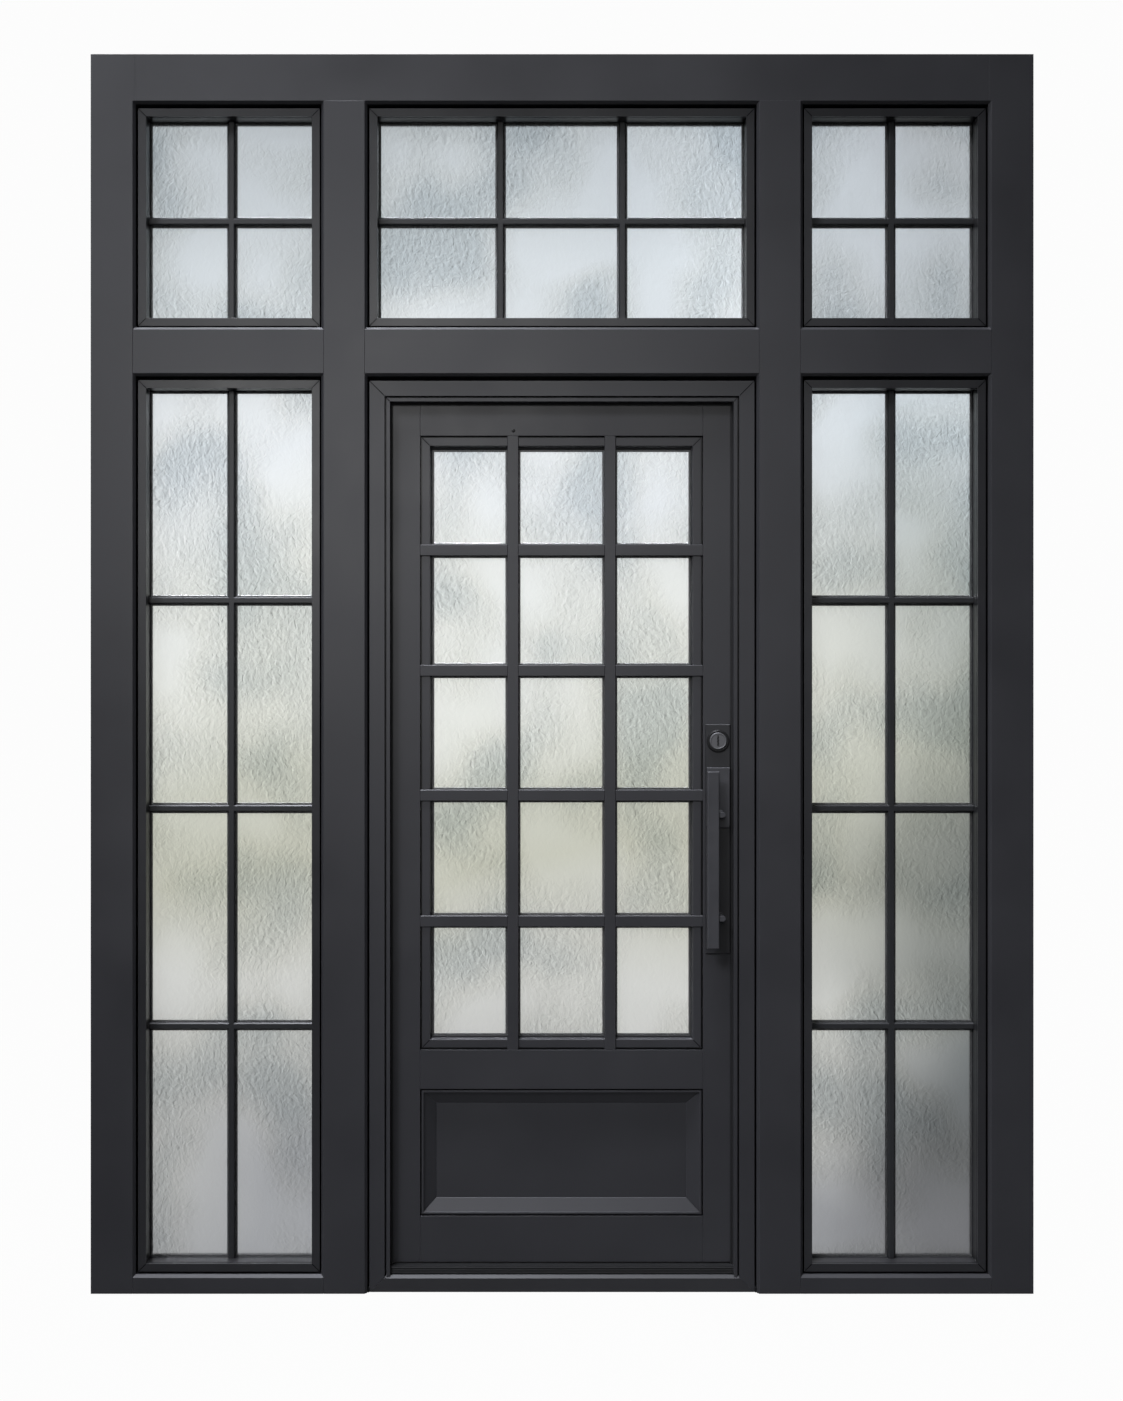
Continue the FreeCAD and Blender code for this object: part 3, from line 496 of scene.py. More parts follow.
@dataclass(frozen=True)
class MouldedRubber:
    """Extruded black rubber of the glazing seals: matt, with faint lines along its run."""

    name: str
    colour: str = "#08080a"
    roughness: float = 0.7
    grain_mm: float = 1.2
    sheen: float = 0.5
    dusty: str = "#121315"
    grain_strength: float = 0.3
    grain_rise_mm: float = 0.2

    def material(self) -> Material:
        """Return the rubber as a material."""
        m = blank_material(self.name)
        place = add_node(m, "TexCoord").outputs["Object"]
        grain = add_node(
            m, "TexNoise", {"Vector": place, "Scale": 1000 / self.grain_mm, "Detail": 3.0}
        )
        dust = add_node(m, "ValToRGB", {"Fac": grain.outputs["Fac"]})
        set_ramp(dust, [(0.35, self.colour), (0.8, self.dusty)])
        bump = add_node(
            m,
            "Bump",
            {
                "Height": grain.outputs["Fac"],
                "Strength": self.grain_strength,
                "Distance": self.grain_rise_mm * MM,
            },
        )
        shader = add_node(
            m,
            "BsdfPrincipled",
            {
                "Base Color": dust.outputs["Color"],
                "Roughness": self.roughness,
                "Normal": bump.outputs["Normal"],
                "IOR": IOR,
                "Specular IOR Level": self.sheen,
            },
        )
        add_node(m, "OutputMaterial", {"Surface": shader.outputs["BSDF"]})
        return m


@dataclass(frozen=True)
class BrushedSteel:
    """Turned or brushed steel with a dark finish, whose fine lines stretch the highlights."""

    name: str
    colour: str
    roughness: float = 0.38
    metallic: float = 1.0
    line_mm: float = 0.9
    stretch: float = 0.04
    wear: float = 0.08
    arris_mm: float = 0.5
    line_strength: float = 0.15
    line_rise_mm: float = 0.1

    def material(self) -> Material:
        """Return the steel as a material."""
        m = blank_material(self.name)
        place = add_node(m, "TexCoord").outputs["Object"]
        long = add_node(
            m, "Mapping", {"Vector": place, "Scale": (1.0, 1.0, self.stretch)}
        )
        lines = add_node(
            m,
            "TexNoise",
            {"Vector": long.outputs["Vector"], "Scale": 1000 / self.line_mm, "Detail": 3.0},
        )
        sheen = (self.roughness - self.wear, self.roughness + self.wear)
        wear_and_highlight = add_node(m, "MapRange", spans(lines.outputs["Fac"], (0.0, 1.0), sheen))
        arris = add_node(m, "Bevel", {"Radius": self.arris_mm * MM}, samples=4)
        bump = add_node(
            m,
            "Bump",
            {
                "Height": lines.outputs["Fac"],
                "Strength": self.line_strength,
                "Distance": self.line_rise_mm * MM,
                "Normal": arris.outputs["Normal"],
            },
        )
        shader = add_node(
            m,
            "BsdfPrincipled",
            {
                "Base Color": linear(self.colour),
                "Metallic": self.metallic,
                "Roughness": wear_and_highlight.outputs["Result"],
                "Normal": bump.outputs["Normal"],
            },
        )
        add_node(m, "OutputMaterial", {"Surface": shader.outputs["BSDF"]})
        return m


@dataclass(frozen=True)
class StudioPaper:
    """Plain matt white paper of the floor and the backdrop."""

    name: str
    colour: str = "#5c5c5c"
    glow: float = 0.975
    whitening: Point = (-0.1, 0.4)
    fibre_mm: float = 25.0
    fibre_strength: float = 0.02
    fibre_rise_mm: float = 0.5

    def material(self) -> Material:
        """Return the paper as a material that shows as white and still takes shadows."""
        m = blank_material(self.name)
        place = add_node(m, "TexCoord").outputs["Object"]
        fibre = add_node(
            m, "TexNoise", {"Vector": place, "Scale": 1000 / self.fibre_mm, "Detail": 2.0}
        )
        bump = add_node(
            m,
            "Bump",
            {
                "Height": fibre.outputs["Fac"],
                "Strength": self.fibre_strength,
                "Distance": self.fibre_rise_mm * MM,
            },
        )
        matt = add_node(
            m, "BsdfDiffuse", {"Color": linear(self.colour), "Normal": bump.outputs["Normal"]}
        )
        white = add_node(m, "Emission", {"Color": linear("#ffffff"), "Strength": 1.0})
        path = add_node(m, "LightPath")
        # Paper in front of the entrance stays plain, so that the paint doesn't mirror it.
        where = add_node(m, "SeparateXYZ", {"Vector": place})
        behind = add_node(
            m,
            "MapRange",
            spans(where.outputs["Y"], self.whitening),
            interpolation_type="SMOOTHSTEP",
        )
        seen = add_node(
            m,
            "Math",
            {
                0: path.outputs["Is Glossy Ray"],
                1: behind.outputs["Result"],
                2: straight_rays(m, path),
            },
            operation="MULTIPLY_ADD",
            use_clamp=True,
        )
        share = add_node(m, "Math", {0: seen.outputs[0], 1: self.glow}, operation="MULTIPLY")
        both = add_node(
            m,
            "MixShader",
            {0: share.outputs[0], 1: matt.outputs["BSDF"], 2: white.outputs["Emission"]},
        )
        add_node(m, "OutputMaterial", {"Surface": both.outputs["Shader"]})
        return m


class Finish(Protocol):
    """Anything that can make its own material."""

    def material(self) -> Material:
        """Return the finish as a material."""


def made(finish: Finish) -> Any:
    """Return a field whose material is made together with the other finishes."""
    return field(default_factory=finish.material)


@dataclass
class Finishes:
    """Every finish of the entrance, made once and shared by the sub-assemblies."""

    frame: Material = made(PowderCoat("powder_coated_cladding", "#343437"))
    # The sash's painted shade reaches 32 mm into its recesses, standing in for the frame's soft
    # shadow on it.
    sash: Material = made(PowderCoat("powder_coated_sash", "#2b2b2d", 0.34, groove_mm=32.0))
    bars: Material = made(PowderCoat("powder_coated_bars", "#28292b"))
    leaf: Material = made(PowderCoat("powder_coated_leaf", "#353538"))
    sill: Material = made(PowderCoat("powder_coated_sill", "#303032", 0.45))
    glass: Material = made(ObscureGlass("hammered_obscure_glass"))
    # Painted shade: the same rolled sheet, painted darker where less light comes through from
    # behind.
    shaded_glass: Material = made(ObscureGlass("obscure_glass_painted_darker", shade=0.69))
    tape: Material = made(
        ObscureGlass("clear_glazing_tape", crest_mm=14.0, roughness=0.45, whiteness=0.55)
    )
    rubber: Material = made(MouldedRubber("extruded_seal_rubber"))
    # Joint mastic dries without any skin, so its open pores stay dull from every side.
    filler: Material = made(MouldedRubber("dull_joint_mastic", "#050506", 0.9, sheen=0.08))
    handle: Material = made(
        PowderCoat("stoved_black_enamel_on_steel", "#2c2c2e", 0.42, 0.04, 1.2, 90.0, 0.9)
    )
    collar: Material = made(
        PowderCoat("black_enamel_on_collar", "#101011", 0.46, 0.04, 1.2, 60.0, 0.7)
    )
    # The pull and its block are given a paler enamel than the plate.
    pull: Material = made(
        PowderCoat("paler_enamel_on_the_pull", "#434346", 0.36, 0.05, 1.2, 60.0, 1.0)
    )
    hinge: Material = made(BrushedSteel("darkened_hinge_steel", "#4a4a4d"))
    plug: Material = made(BrushedSteel("turned_plug_steel", "#68686a", 0.5, 0.45, 0.6))


def clothe(finish: Material, *names: str) -> None:
    """Give CAD nodes a finish by filling their material slots.

    Args:
        finish: The material.
        names: The nodes' names.
    """
    for name in names:
        node = frame["nodes"][name]
        if not node.material_slots:
            node.data.materials.append(finish)
        for place in node.material_slots:
            place.material = finish
    log.info("%s: %s", finish.name, ", ".join(names))


@dataclass
class Shape:
    """The corners and faces of one piece, gathered part by part."""

    corners: list[Corner] = field(default_factory=list)
    faces: list[list[int]] = field(default_factory=list)

    def bridge(self, here: int, there: int, count: int) -> None:
        """Close the band between two loops of corners.

        Args:
            here: The first corner of one loop.
            there: The first corner of the other.
            count: How many corners each loop has.
        """
        for i in range(count):
            j = (i + 1) % count
            self.faces.append([here + i, here + j, there + j, there + i])

    def cap(self, first: int, count: int) -> None:
        """Close one loop of corners with a face."""
        self.faces.append(list(range(first, first + count)))

    def block(self, back: Sequence[Corner], front: Sequence[Corner], closed: bool = True) -> None:
        """Join two loops of corners by a band and close the ends.

        Args:
            back: The loop at the back.
            front: The loop at the front, with as many corners.
            closed: Whether the back gets a face too.
        """
        first, count = len(self.corners), len(back)
        self.corners += [*back, *front]
        self.cap(first + count, count)
        self.bridge(first, first + count, count)
        if closed:
            self.cap(first, count)

    def ring(self, low: Point, high: Point, section: Sequence[Point], steep: float = 1.0) -> None:
        """Sweep a section round an upright rectangle with mitred corners.

        Args:
            low: The rectangle's lower left corner, as (x, z).
            high: Its upper right corner.
            section: Closed section as (inset, y) points, the inset measured in from the sides.
            steep: How many times wider the section is at head and foot than at the sides.
        """
        first, count = len(self.corners), len(section)
        for side_x, side_z in ((0, 0), (1, 0), (1, 1), (0, 1)):
            for inset, y in section:
                x = high[0] - inset if side_x else low[0] + inset
                z = high[1] - inset * steep if side_z else low[1] + inset * steep
                self.corners.append((x, y, z))
        for side in range(4):
            self.bridge(first + side * count, first + (side + 1) % 4 * count, count)

    def turn(self, outline: Sequence[Point], centre: Corner, sides: int = 48) -> None:
        """Turn an outline about an axis that runs along Y.

        Args:
            outline: (radius, y) points from the middle outwards, with y measured from the centre.
            centre: The point on the axis.
            sides: How many flats the round has.
        """
        first = len(self.corners)
        for radius, y in outline:
            for step in range(sides):
                angle = 2 * math.pi * step / sides
                x = centre[0] + radius * math.cos(angle)
                z = centre[2] + radius * math.sin(angle)
                self.corners.append((x, centre[1] + y, z))
        for row in range(len(outline) - 1):
            self.bridge(first + row * sides, first + (row + 1) * sides, sides)

    def mitres(self, low: Point, high: Point, span: Point, y: float, feet: bool = True) -> None:
        """Lay a thin line of joint filler along each mitre of a rectangle.

        Args:
            low: The rectangle's lower left corner, as (x, z).
            high: Its upper right corner.
            span: How far in from the corner the line starts and ends, along each side.
            y: The face that it lies on.
            feet: Whether the two lower corners have a mitre too.
        """
        start, end = span
        across, proud, sunk = 0.8 * MM, 0.06 * MM, 0.3 * MM
        for at_x, into_x in ((low[0], 1), (high[0], -1)):
            for at_z, into_z in ((low[1], 1), (high[1], -1)):
                if into_z > 0 and not feet:
                    continue
                loops = [
                    [
                        (
                            at_x + into_x * (way + side * across),
                            depth,
                            at_z + into_z * (way - side * across),
                        )
                        for way, side in ((start, 1), (start, -1), (end, -1), (end, 1))
                    ]
                    for depth in (y + sunk, y - proud)
                ]
                self.block(*loops, closed=False)


def hang_mesh(name: str, shape: Shape, finish: Material, smooth: bool) -> bpy.types.Object:
    """Make an object from a shape and put it in the scene.

    Args:
        name: The object's name.
        shape: Its corners, in metres, and its faces.
        finish: Its material.
        smooth: Whether its faces are shaded as one round surface.

    Returns:
        The new object.
    """
    mesh = bpy.data.meshes.new(name)
    mesh.from_pydata([Vector(c) for c in shape.corners], [], shape.faces)
    mesh.validate()
    mesh.update()
    for polygon in mesh.polygons:
        polygon.use_smooth = smooth
    mesh.materials.append(finish)
    piece = bpy.data.objects.new(name, mesh)
    bpy.context.scene.collection.objects.link(piece)
    return piece


def place_piece(
    name: str, shape: Shape, finish: Material, body: Body, smooth: bool = False
) -> None:
    """Make one piece and let it ride on a body.

    Args:
        name: The piece's name.
        shape: Its corners and faces.
        finish: Its material.
        body: The body that it moves with.
        smooth: Whether its faces are shaded as one round surface.
    """
    piece = hang_mesh(name, shape, finish, smooth)
    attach(piece, body.value)
    log.info("%s: %d corners, %d faces", name, len(shape.corners), len(shape.faces))


def pane_spans(bars: bpy.types.Object, plane: float, axis: int, seal: float) -> list[Point]:
    """Find the clear spans between glazing bars along one axis.

    Args:
        bars: The bars that divide the glass, in place.
        plane: Y of the glass face that they lie on.
        axis: 0 for the widths of the panes, 2 for their heights.
        seal: How far the seal at the sides of the glass reaches over it.

    Returns:
        The start and end of each pane along the axis.
    """
    near, widest_bar = 1.5 * MM, 60 * MM
    places = [bars.matrix_world @ corner.co for corner in bars.data.vertices]
    found: list[float] = []
    for value in sorted(place[axis] for place in places if abs(place.y - plane) < near):
        if not found or value - found[-1] > near:
            found.append(value)
    edges = [-math.inf] + found + [math.inf]
    for i, value in enumerate(found):
        outward = value - edges[i] if i % 2 == 0 else edges[i + 2] - value
        if outward > widest_bar:
            found[i] += seal if i % 2 == 0 else -seal
    return list(zip(found[0::2], found[1::2]))


def tape_panes(
    name: str,
    columns: Sequence[Point],
    rows: Sequence[Point],
    plane: float,
    finish: Material,
    body: Body,
) -> None:
    """Run clear tape round every pane, where bars and beads are bedded on the glass.

    Args:
        name: The piece's name.
        columns: The panes' left and right edges.
        rows: Their lower and upper edges.
        plane: Y of the outdoor face of the glass.
        finish: The tape's material.
        body: The body that the glass moves with.
    """
    width, proud, under, bevel = 5.2 * MM, 0.6 * MM, 1.0 * MM, 0.8 * MM
    section = [
        (-under, plane), (-under, plane - proud), (width - bevel, plane - proud), (width, plane)
    ]
    shape = Shape()
    for left, right in columns:
        for foot, top in rows:
            shape.ring((left, foot), (right, top), section)
    place_piece(name, shape, finish, body)


@dataclass(frozen=True)
class Seal:
    """A rubber seal that lies against both faces of a sheet of glass."""

    width: float
    proud: float
    profile: tuple[Point, ...]
    steep: float = 1.0

    def lay(
        self, name: str, faces: Point, low: Point, high: Point, rubber: Material, body: Body
    ) -> None:
        """Lay the seal round the sight line of a sheet.

        Args:
            name: The piece's name.
            faces: Y of the sheet's outdoor and indoor faces.
            low: The sight line's lower left corner, as (x, z).
            high: Its upper right corner.
            rubber: The seal's material.
            body: The body that the glass moves with.
        """
        shape = Shape()
        for y, out in zip(faces, (-1, 1)):
            section = [
                (self.width * across, y + out * self.proud * rise) for across, rise in self.profile
            ]
            shape.ring(low, high, section, self.steep)
        place_piece(name, shape, rubber, body)


@dataclass
class OuterFrame:
    """Jambs, mullions, head and rails."""

    members: tuple[str, ...] = (
        "left_jamb", "right_jamb", "left_mullion", "right_mullion", "head",
        "side_transom_rails", "centre_transom_rail", "sidelight_bottom_rails",
    )

    def dress(self, finishes: Finishes) -> None:
        """Coat the members."""
        clothe(finishes.frame, *self.members)


@dataclass
class FixedLights:
    """The sashes, bars, glass and glazing seals of the sidelights and transoms."""

    lights: tuple[str, ...] = (
        "left_sidelight", "right_sidelight", "left_transom", "centre_transom", "right_transom"
    )
    # The light whose glass is painted darker, a painted shade for less light behind it.
    shaded_light: str = "right_transom"
    bars: tuple[str, ...] = (
        "left_sidelight_bars", "right_sidelight_bars", "side_transom_bars", "centre_transom_bars"
    )
    sash_face: float = 21 * MM
    mitre_end: float = 1.0 * MM
    seal: Seal = Seal(
        0.7 * MM,
        4.0 * MM,
        ((0.0, 0.0), (0.0, 1.0), (0.35, 1.0), (0.7, 0.86), (0.93, 0.55), (1.0, 0.0)),
    )

    def dress(self, finishes: Finishes) -> None:
        """Coat the sashes and bars, and glaze them.

        Args:
            finishes: The finishes to use.
        """
        clothe(finishes.sash, *[name + "_sash" for name in self.lights])
        clothe(finishes.bars, *self.bars)
        for name in self.lights:
            in_shade = name == self.shaded_light
            clothe(finishes.shaded_glass if in_shade else finishes.glass, name + "_glass")
            self.seal_light(name, finishes)
        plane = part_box("left_sidelight_glass")[0].y
        for name in self.bars:
            bars = frame["nodes"][name]
            columns, rows = [pane_spans(bars, plane, axis, self.seal.width) for axis in (0, 2)]
            tape = name.replace("bars", "tape")
            tape_panes(tape, columns, rows, plane, finishes.tape, Body.FRAME)

    def seal_light(self, light: str, finishes: Finishes) -> None:
        """Seal both faces of one light's glass, and fill the mitres of its sash.

        Args:
            light: The light's name.
            finishes: The finishes to use.
        """
        low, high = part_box(light + "_sash")
        glass_low, glass_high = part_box(light + "_glass")
        inset, faces = self.sash_face, (glass_low.y, glass_high.y)
        sight = (low.x + inset, low.z + inset), (high.x - inset, high.z - inset)
        self.seal.lay(light + "_seals", faces, *sight, finishes.rubber, Body.FRAME)
        shape = Shape()
        span = (self.mitre_end, inset - self.mitre_end)
        shape.mitres((low.x, low.z), (high.x, high.z), span, low.y)
        place_piece(light + "_mitres", shape, finishes.filler, Body.FRAME)


@dataclass
class DoorFrame:
    """The casing round the leaf, its seal and the sill."""

    casing: tuple[str, ...] = ("door_frame_left", "door_frame_right", "door_frame_head")
    # The folded seal's section in mm, out from the casing and in from the fold.
    fold: tuple[Point, ...] = (
        (0.3, 0.0), (2.5, -3.0), (4.7, 0.0), (4.7, 4.0), (2.5, 1.0), (0.3, 4.0),
    )
    fold_y: float = -20.0 * MM
    # What lies less than this far in, in mm too, is drawn out to make the plug: dark rubber
    # that stands in for the shade at the gap's foot, where the bright floor would show through.
    fold_back: float = 2.0
    seal_foot: float = 0.5 * MM
    shade_plug_foot: float = 0.2 * MM
    shade_plug_reach: float = 22.0 * MM
    shade_plug_height: float = 14.0 * MM
    upstand_y: float = -29.0 * MM
    sweep_foot: float = 44.2 * MM
    sweep_lap: float = 4.0 * MM
    sweep_bed: float = 0.2 * MM
    sweep_web: float = 0.6 * MM
    sweep_skin: float = 0.8 * MM
    sweep_ribs: int = 3
    # One rib: in mm from the upstand, and up as a share of the pitch.
    rib: tuple[Point, ...] = ((-0.6, 0.0), (-1.6, 0.25), (-1.6, 0.6), (-0.6, 0.9))
    face_mitre: Point = (1.0 * MM, 39.0 * MM)
    stop_mitre: Point = (45.8 * MM, 53.0 * MM)
    stop_setback: float = 2.0 * MM

    def dress(self, finishes: Finishes) -> None:
        """Coat the casing and the sill, and lay the seals and fillers.

        Args:
            finishes: The finishes to use.
        """
        clothe(finishes.frame, *self.casing)
        clothe(finishes.sill, "sill")
        clothe(finishes.rubber, "door_seal")
        self.fill_gap(finishes.rubber)
        self.lay_sweep(finishes.rubber)
        self.fill_mitres(finishes.filler)

    def fill_mitres(self, filler: Material) -> None:
        """Fill the mitres of the casing's face and stop at its upper corners.

        Args:
            filler: The filler's material.
        """
        low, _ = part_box("door_frame_left")
        right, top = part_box("door_frame_right")[1].x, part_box("door_frame_head")[1].z
        for name, span, back in (
            ("casing_mitres", self.face_mitre, 0.0),
            ("stop_mitres", self.stop_mitre, self.stop_setback),
        ):
            shape = Shape()
            shape.mitres((low.x, low.z), (right, top), span, low.y + back, feet=False)
            place_piece(name, shape, filler, Body.FRAME)

    def lay_sweep(self, rubber: Material) -> None:
        """Lay the ribbed sweep that faces the sill's upstand and laps over its top.

        Its black rubber, lapped over the upstand, also stands in for the shade under the leaf.

        Args:
            rubber: The sweep's material.
        """
        sill_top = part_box("sill")[1].z
        leaf_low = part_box("hinge_stile")[0]
        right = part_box("lock_stile")[1].x
        foot, top = self.sweep_foot, sill_top - self.sweep_web
        over, under = sill_top + self.sweep_skin, sill_top - self.sweep_bed
        bed, lap = self.upstand_y + self.sweep_bed, leaf_low.y + self.sweep_lap
        pitch = (top - foot) / self.sweep_ribs
        section: list[Point] = [(bed, foot)]
        for step in range(self.sweep_ribs):
            z = foot + step * pitch
            section += [(self.upstand_y + out * MM, z + up * pitch) for out, up in self.rib]
        section += [
            (self.upstand_y - self.sweep_web, top),
            (self.upstand_y - self.sweep_bed, over),
            (lap, over),
            (lap, under),
            (bed, under),
        ]
        shape = Shape()
        shape.block(*[[(x, y, z) for y, z in section] for x in (leaf_low.x, right)])
        place_piece("threshold_sweep_and_shade", shape, rubber, Body.FRAME)

    def fill_gap(self, rubber: Material) -> None:
        """Lay the folded seals between the casing and its posts, and plug the gap's foot.

        The seals' black rubber, with the plug drawn out at the foot, also stands in for the
        shade in the gap.

        Args:
            rubber: The seals' material.
        """
        low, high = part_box("door_frame_left")
        shape = Shape()
        for edge, out in ((low.x, -1), (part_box("door_frame_right")[1].x, 1)):
            for reach, foot, top in (
                (0.0, self.seal_foot, high.z), (self.shade_plug_reach, self.shade_plug_foot, self.shade_plug_height)
            ):
                section = []
                for across, along in self.fold:
                    front = reach if along < self.fold_back else 0.0
                    section.append((edge + out * across * MM, self.fold_y + along * MM - front))
                shape.block(*[[(x, y, z) for x, y in section] for z in (foot, top)])
        place_piece("casing_gap_seals_and_shade_plugs", shape, rubber, Body.FRAME)


@dataclass
class DoorLeaf:
    """The leaf's members, panel, glass and seals."""

    members: tuple[str, ...] = (
        "hinge_stile", "lock_stile", "top_rail", "lock_rail", "bottom_rail",
        "leaf_panel", "panel_mouldings", "glazing_beads", "leaf_bars",
    )
    bead_inset: float = 30.7 * MM
    bead_mitre: Point = (5.8 * MM, 24.6 * MM)
    seal: Seal = Seal(
        1.0 * MM, 3.0 * MM, ((0.0, 0.0), (0.0, 1.0), (0.5, 1.0), (0.9, 0.6), (1.0, 0.0)), 5.0
    )

    def dress(self, finishes: Finishes) -> None:
        """Coat the leaf, glaze it, seal the glass and fill the mitres of the beads.

        Args:
            finishes: The finishes to use.
        """
        clothe(finishes.leaf, *self.members)
        clothe(finishes.glass, "leaf_glass")
        low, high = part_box("leaf_glass")
        inset, faces = self.bead_inset, (low.y, high.y)
        sight = (low.x + inset, low.z + inset), (high.x - inset, high.z - inset)
        self.seal.lay("leaf_glass_seals", faces, *sight, finishes.rubber, Body.LEAF)
        bars = frame["nodes"]["leaf_bars"]
        columns = pane_spans(bars, low.y, 0, self.seal.width)
        rows = pane_spans(bars, low.y, 2, self.seal.width * self.seal.steep)
        tape_panes("leaf_tape", columns, rows, low.y, finishes.tape, Body.LEAF)
        low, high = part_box("glazing_beads")
        shape = Shape()
        shape.mitres((low.x, low.z), (high.x, high.z), self.bead_mitre, low.y)
        place_piece("bead_mitres", shape, finishes.filler, Body.LEAF)


@dataclass
class Hardware:
    """The pull, its plate and block, the lock and the hinges."""

    enamelled: tuple[str, ...] = ("handle_plate", "inner_handle")
    made_paler: tuple[str, ...] = ("handle_block", "pull_bar")
    # Outlines in mm: out from the edge that they follow, and in from the face.
    gasket: tuple[Point, ...] = ((-0.4, 0.0), (-0.4, -1.2), (1.2, -1.2), (2.0, -0.5), (2.0, 0.0))
    rim: tuple[Point, ...] = ((-4.6, 0.1), (-4.2, -0.5), (-2.0, -0.7), (-1.4, -0.4), (-1.2, 0.1))
    dome: tuple[Point, ...] = ((0.2, -1.2), (2.4, -1.1), (4.2, -0.6), (4.8, 0.2))
    dome_sides: int = 24
    # The waved edge of the key's slot in mm, clockwise from its upper end.
    wards: tuple[Point, ...] = (
        (0.2, 15.5), (1.9, 10.0), (0.9, 6.5), (2.6, 2.0), (1.4, -2.0), (2.7, -6.0), (1.0, -10.5),
        (-0.6, -15.5), (-2.0, -9.5), (-1.0, -5.5), (-2.6, -1.0), (-1.3, 3.0), (-2.3, 7.5),
        (-1.0, 11.5),
    )
    ward_root: float = 0.3
    screw_x: float = -128.0 * MM
    screw_above_rail_foot: float = 13.0 * MM

    def dress(self, finishes: Finishes) -> None:
        """Enamel the handle set and finish the plug and hinges.

        Args:
            finishes: The finishes to use.
        """
        clothe(finishes.handle, *self.enamelled)
        clothe(finishes.pull, *self.made_paler)
        clothe(finishes.collar, "lock_cylinder")
        clothe(finishes.plug, "key_plug")
        clothe(finishes.hinge, "frame_hinges", "leaf_hinges")
        self.trim_lock(finishes)
        self.plug_screw(finishes.collar)

    def trim_lock(self, finishes: Finishes) -> None:
        """Add the collar's gasket, the plug's raised rim and its slot.

        The gasket's black ring also stands in for the shade round the collar's foot, and the
        slot is a thin black sheet that stands in for the shade in the keyway.

        Args:
            finishes: The finishes to use.
        """
        low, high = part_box("key_plug")
        centre = ((low.x + high.x) / 2, low.y, (low.z + high.z) / 2)
        collar_low, collar_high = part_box("lock_cylinder")
        collar = (collar_high.x - collar_low.x) / 2
        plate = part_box("handle_plate")[0].y - low.y
        rubber, steel = finishes.rubber, finishes.plug
        # The collar's black gasket also stands in for the shade round its foot.
        for name, outline, edge, face, finish, body, slot in (
            ("collar_gasket_and_shade", self.gasket, collar, plate, rubber, Body.LEAF, Slot.RUBBER),
            ("plug_rim", self.rim, (high.x - low.x) / 2, 0.0, steel, Body.PLUG, Slot.PLUG),
        ):
            shape = Shape()
            shape.turn([(edge + out * MM, face + back * MM) for out, back in outline], centre)
            place_piece(name, shape, finish, body, smooth=True)
        # Painted shade: the slot is a thin black sheet on the plug's face, standing in for the
        # shade in the keyway, beside a steel edge.
        for name, shift, front, finish in (
            ("key_slot_edge", 1.3, -0.25, steel), ("keyway_shade_sheet", 0.0, -0.4, rubber)
        ):
            shape = Shape()
            loops = [
                [
                    (centre[0] + (x + shift) * MM, centre[1] + y * MM, centre[2] + z * MM)
                    for x, z in self.wards
                ]
                for y in (self.ward_root, front)
            ]
            shape.block(*loops, closed=False)
            place_piece(name, shape, finish, Body.PLUG)

    def plug_screw(self, enamel: Material) -> None:
        """Cap the screw that holds the first bar to the top rail.

        Args:
            enamel: The cap's material.
        """
        low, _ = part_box("top_rail")
        centre = (self.screw_x, low.y, low.z + self.screw_above_rail_foot)
        shape = Shape()
        shape.turn([(out * MM, back * MM) for out, back in self.dome], centre, self.dome_sides)
        shape.cap(0, self.dome_sides)
        place_piece("screw_plug", shape, enamel, Body.LEAF, smooth=True)


@dataclass(frozen=True)
class Lamp:
    """One soft rectangular lamp, which doesn't show through the glass.

    It hangs at one point and faces another, is measured in metres and watts, and opens its
    light by the spread in degrees.
    """

    name: str
    at: Corner
    to: Corner
    size: Point
    power: float
    colour: str = "#ffffff"
    spread: float = 180.0

    def hang(self) -> None:
        """Put the lamp in the scene."""
        light = bpy.data.lights.new(self.name, "AREA")
        light.shape = "RECTANGLE"
        light.size, light.size_y = self.size
        light.energy = self.power
        light.color = linear(self.colour)[:3]
        light.spread = math.radians(self.spread)
        holder = bpy.data.objects.new(self.name, light)
        holder.visible_transmission = False
        holder.location = self.at
        facing = Vector(self.to) - Vector(self.at)
        holder.rotation_euler = facing.to_track_quat("-Z", "Y").to_euler()
        bpy.context.scene.collection.objects.link(holder)


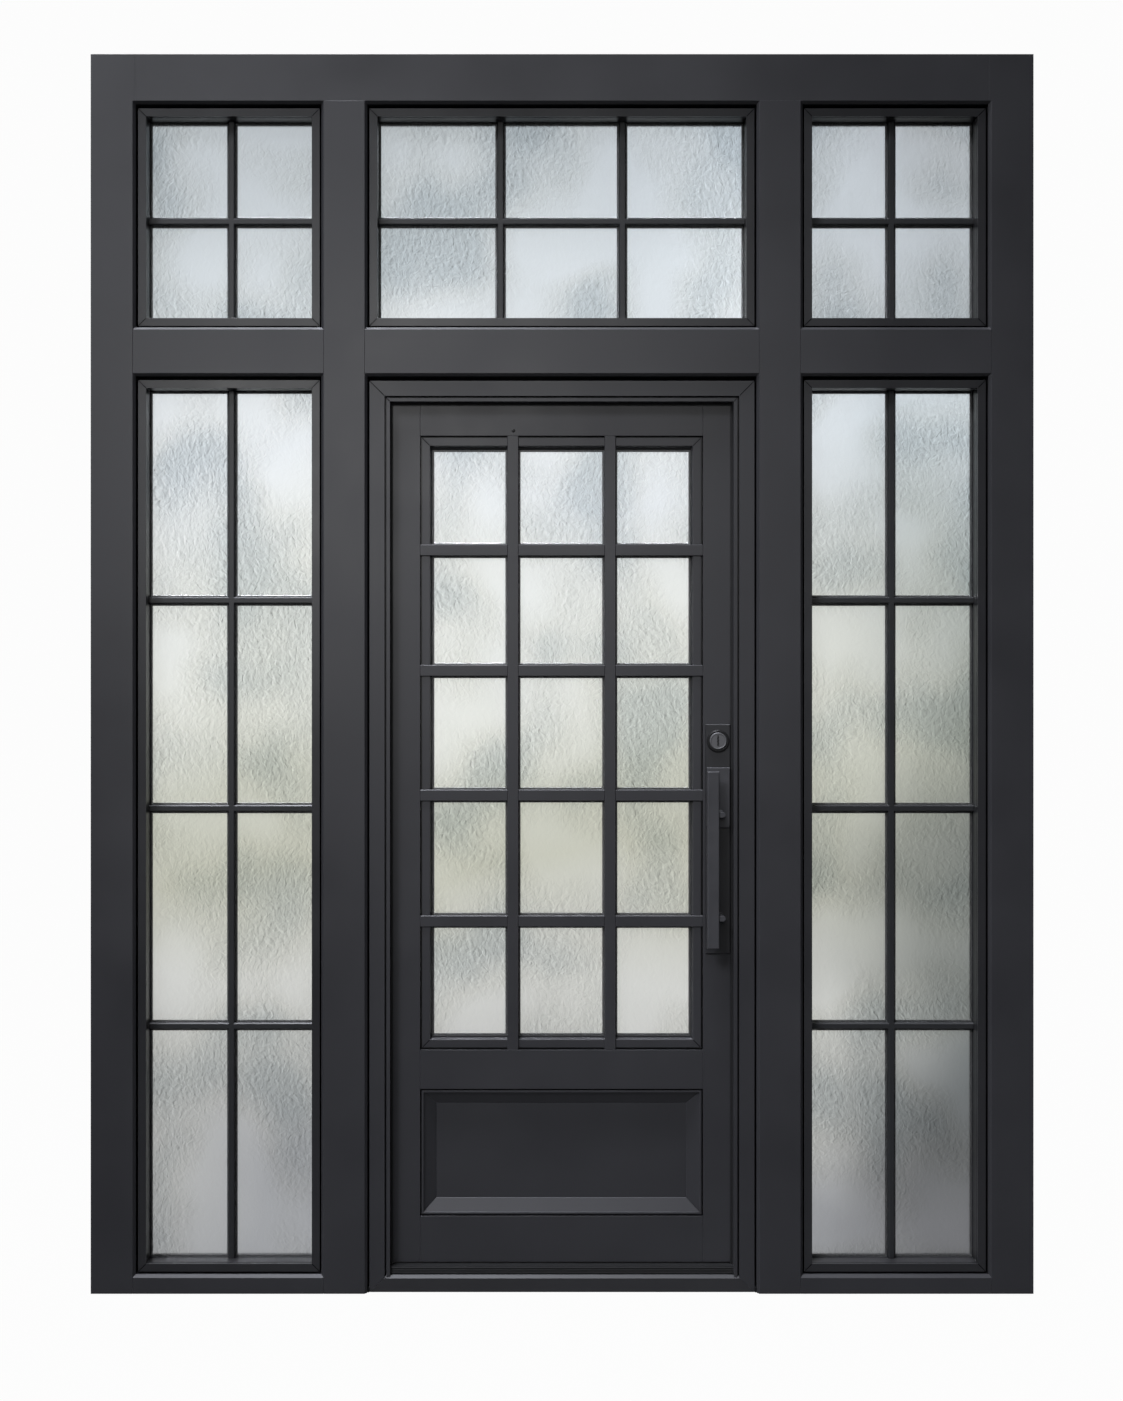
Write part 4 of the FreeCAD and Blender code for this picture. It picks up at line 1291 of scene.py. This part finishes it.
@dataclass
class Studio:
    """Floor, backdrop, lamps and camera."""

    eye: Corner = (-0.131, -4.053, 1.595)
    lens: float = 39.004
    sensor: float = 36.0
    shift: Point = (0.03505, -0.0085)
    far_clip: float = 100.0
    wall_y: float = 8.0
    wall_height: float = 12.0
    floor_reach: float = 16.0
    cove: float = 2.0
    cove_steps: int = 12
    dim: float = 0.08
    # The key lamp comes from the upper left, and the overhead one lights the level arrises.
    lamps: tuple[Lamp, ...] = (
        Lamp("key", (-6.2, -8.4, 10.2), (0.12, 0.0, 1.15), (6.5, 4.5), 61.0, "#f6f8ff", 26.0),
        Lamp("overhead", (-1.6, -1.6, 12.0), (-0.4, -0.2, 0.8), (3.2, 1.6), 70.0, "#f2f5ff", 40.0),
        Lamp("front", (-0.9, -6.2, 3.2), (-0.3, 0.0, 1.8), (2.9, 2.1), 7.2, spread=48.0),
        Lamp("back", (3.4, 6.4, 5.6), (0.0, 0.1, 1.5), (3.0, 2.4), 200.0, "#f6f8ff"),
    )

    def build(self) -> None:
        """Set up everything that isn't part of the entrance."""
        self.paper()
        for lamp in self.lamps:
            lamp.hang()
        self.surroundings()
        self.camera()

    def paper(self) -> None:
        """Lay the paper: a floor that curves up into a wall behind the entrance."""
        rows: list[Point] = [(-self.floor_reach, 0.0)]
        for step in range(self.cove_steps + 1):
            turn = math.pi / 2 * step / self.cove_steps
            y = self.wall_y - self.cove + self.cove * math.sin(turn)
            rows.append((y, self.cove - self.cove * math.cos(turn)))
        rows.append((self.wall_y, self.wall_height))
        shape = Shape()
        for y, z in rows:
            shape.corners += [(-self.floor_reach, y, z), (self.floor_reach, y, z)]
        shape.faces = [[2 * i, 2 * i + 1, 2 * i + 3, 2 * i + 2] for i in range(len(rows) - 1)]
        finish = StudioPaper("matt_studio_paper").material()
        paper = hang_mesh("studio_paper", shape, finish, smooth=True)

    def surroundings(self) -> None:
        """Fill the room with an even dim grey, which shows as white past the paper."""
        world = bpy.data.worlds.new("studio_world")
        world.use_nodes = True
        world.node_tree.nodes.clear()
        grey, white = [
            add_node(world, "Background", {"Color": linear(code), "Strength": power})
            for code, power in (("#dfe3ea", self.dim), ("#ffffff", 1.0))
        ]
        path = add_node(world, "LightPath")
        both = add_node(
            world,
            "MixShader",
            {
                0: straight_rays(world, path),
                1: grey.outputs["Background"],
                2: white.outputs["Background"],
            },
        )
        add_node(world, "OutputWorld", {"Surface": both.outputs["Shader"]})
        bpy.context.scene.world = world

    def camera(self) -> None:
        """Stand the camera at the photograph's place, level and square to the wall."""
        lens = bpy.data.cameras.new("camera")
        lens.sensor_width = self.sensor
        lens.lens = self.lens
        lens.shift_x, lens.shift_y = self.shift
        lens.clip_end = self.far_clip
        eye = bpy.data.objects.new("camera", lens)
        eye.location = self.eye
        eye.rotation_euler = (math.pi / 2, 0.0, 0.0)
        bpy.context.scene.collection.objects.link(eye)
        bpy.context.scene.camera = eye


def main() -> None:
    """Build the studio and dress every sub-assembly."""
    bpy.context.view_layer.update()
    Studio().build()
    finishes = Finishes()
    for assembly in (OuterFrame(), FixedLights(), DoorFrame(), DoorLeaf(), Hardware()):
        log.info("dressing %s", type(assembly).__name__)
        assembly.dress(finishes)
    bpy.context.scene.view_settings.view_transform = "Standard"


if __name__ == "__main__":
    main()
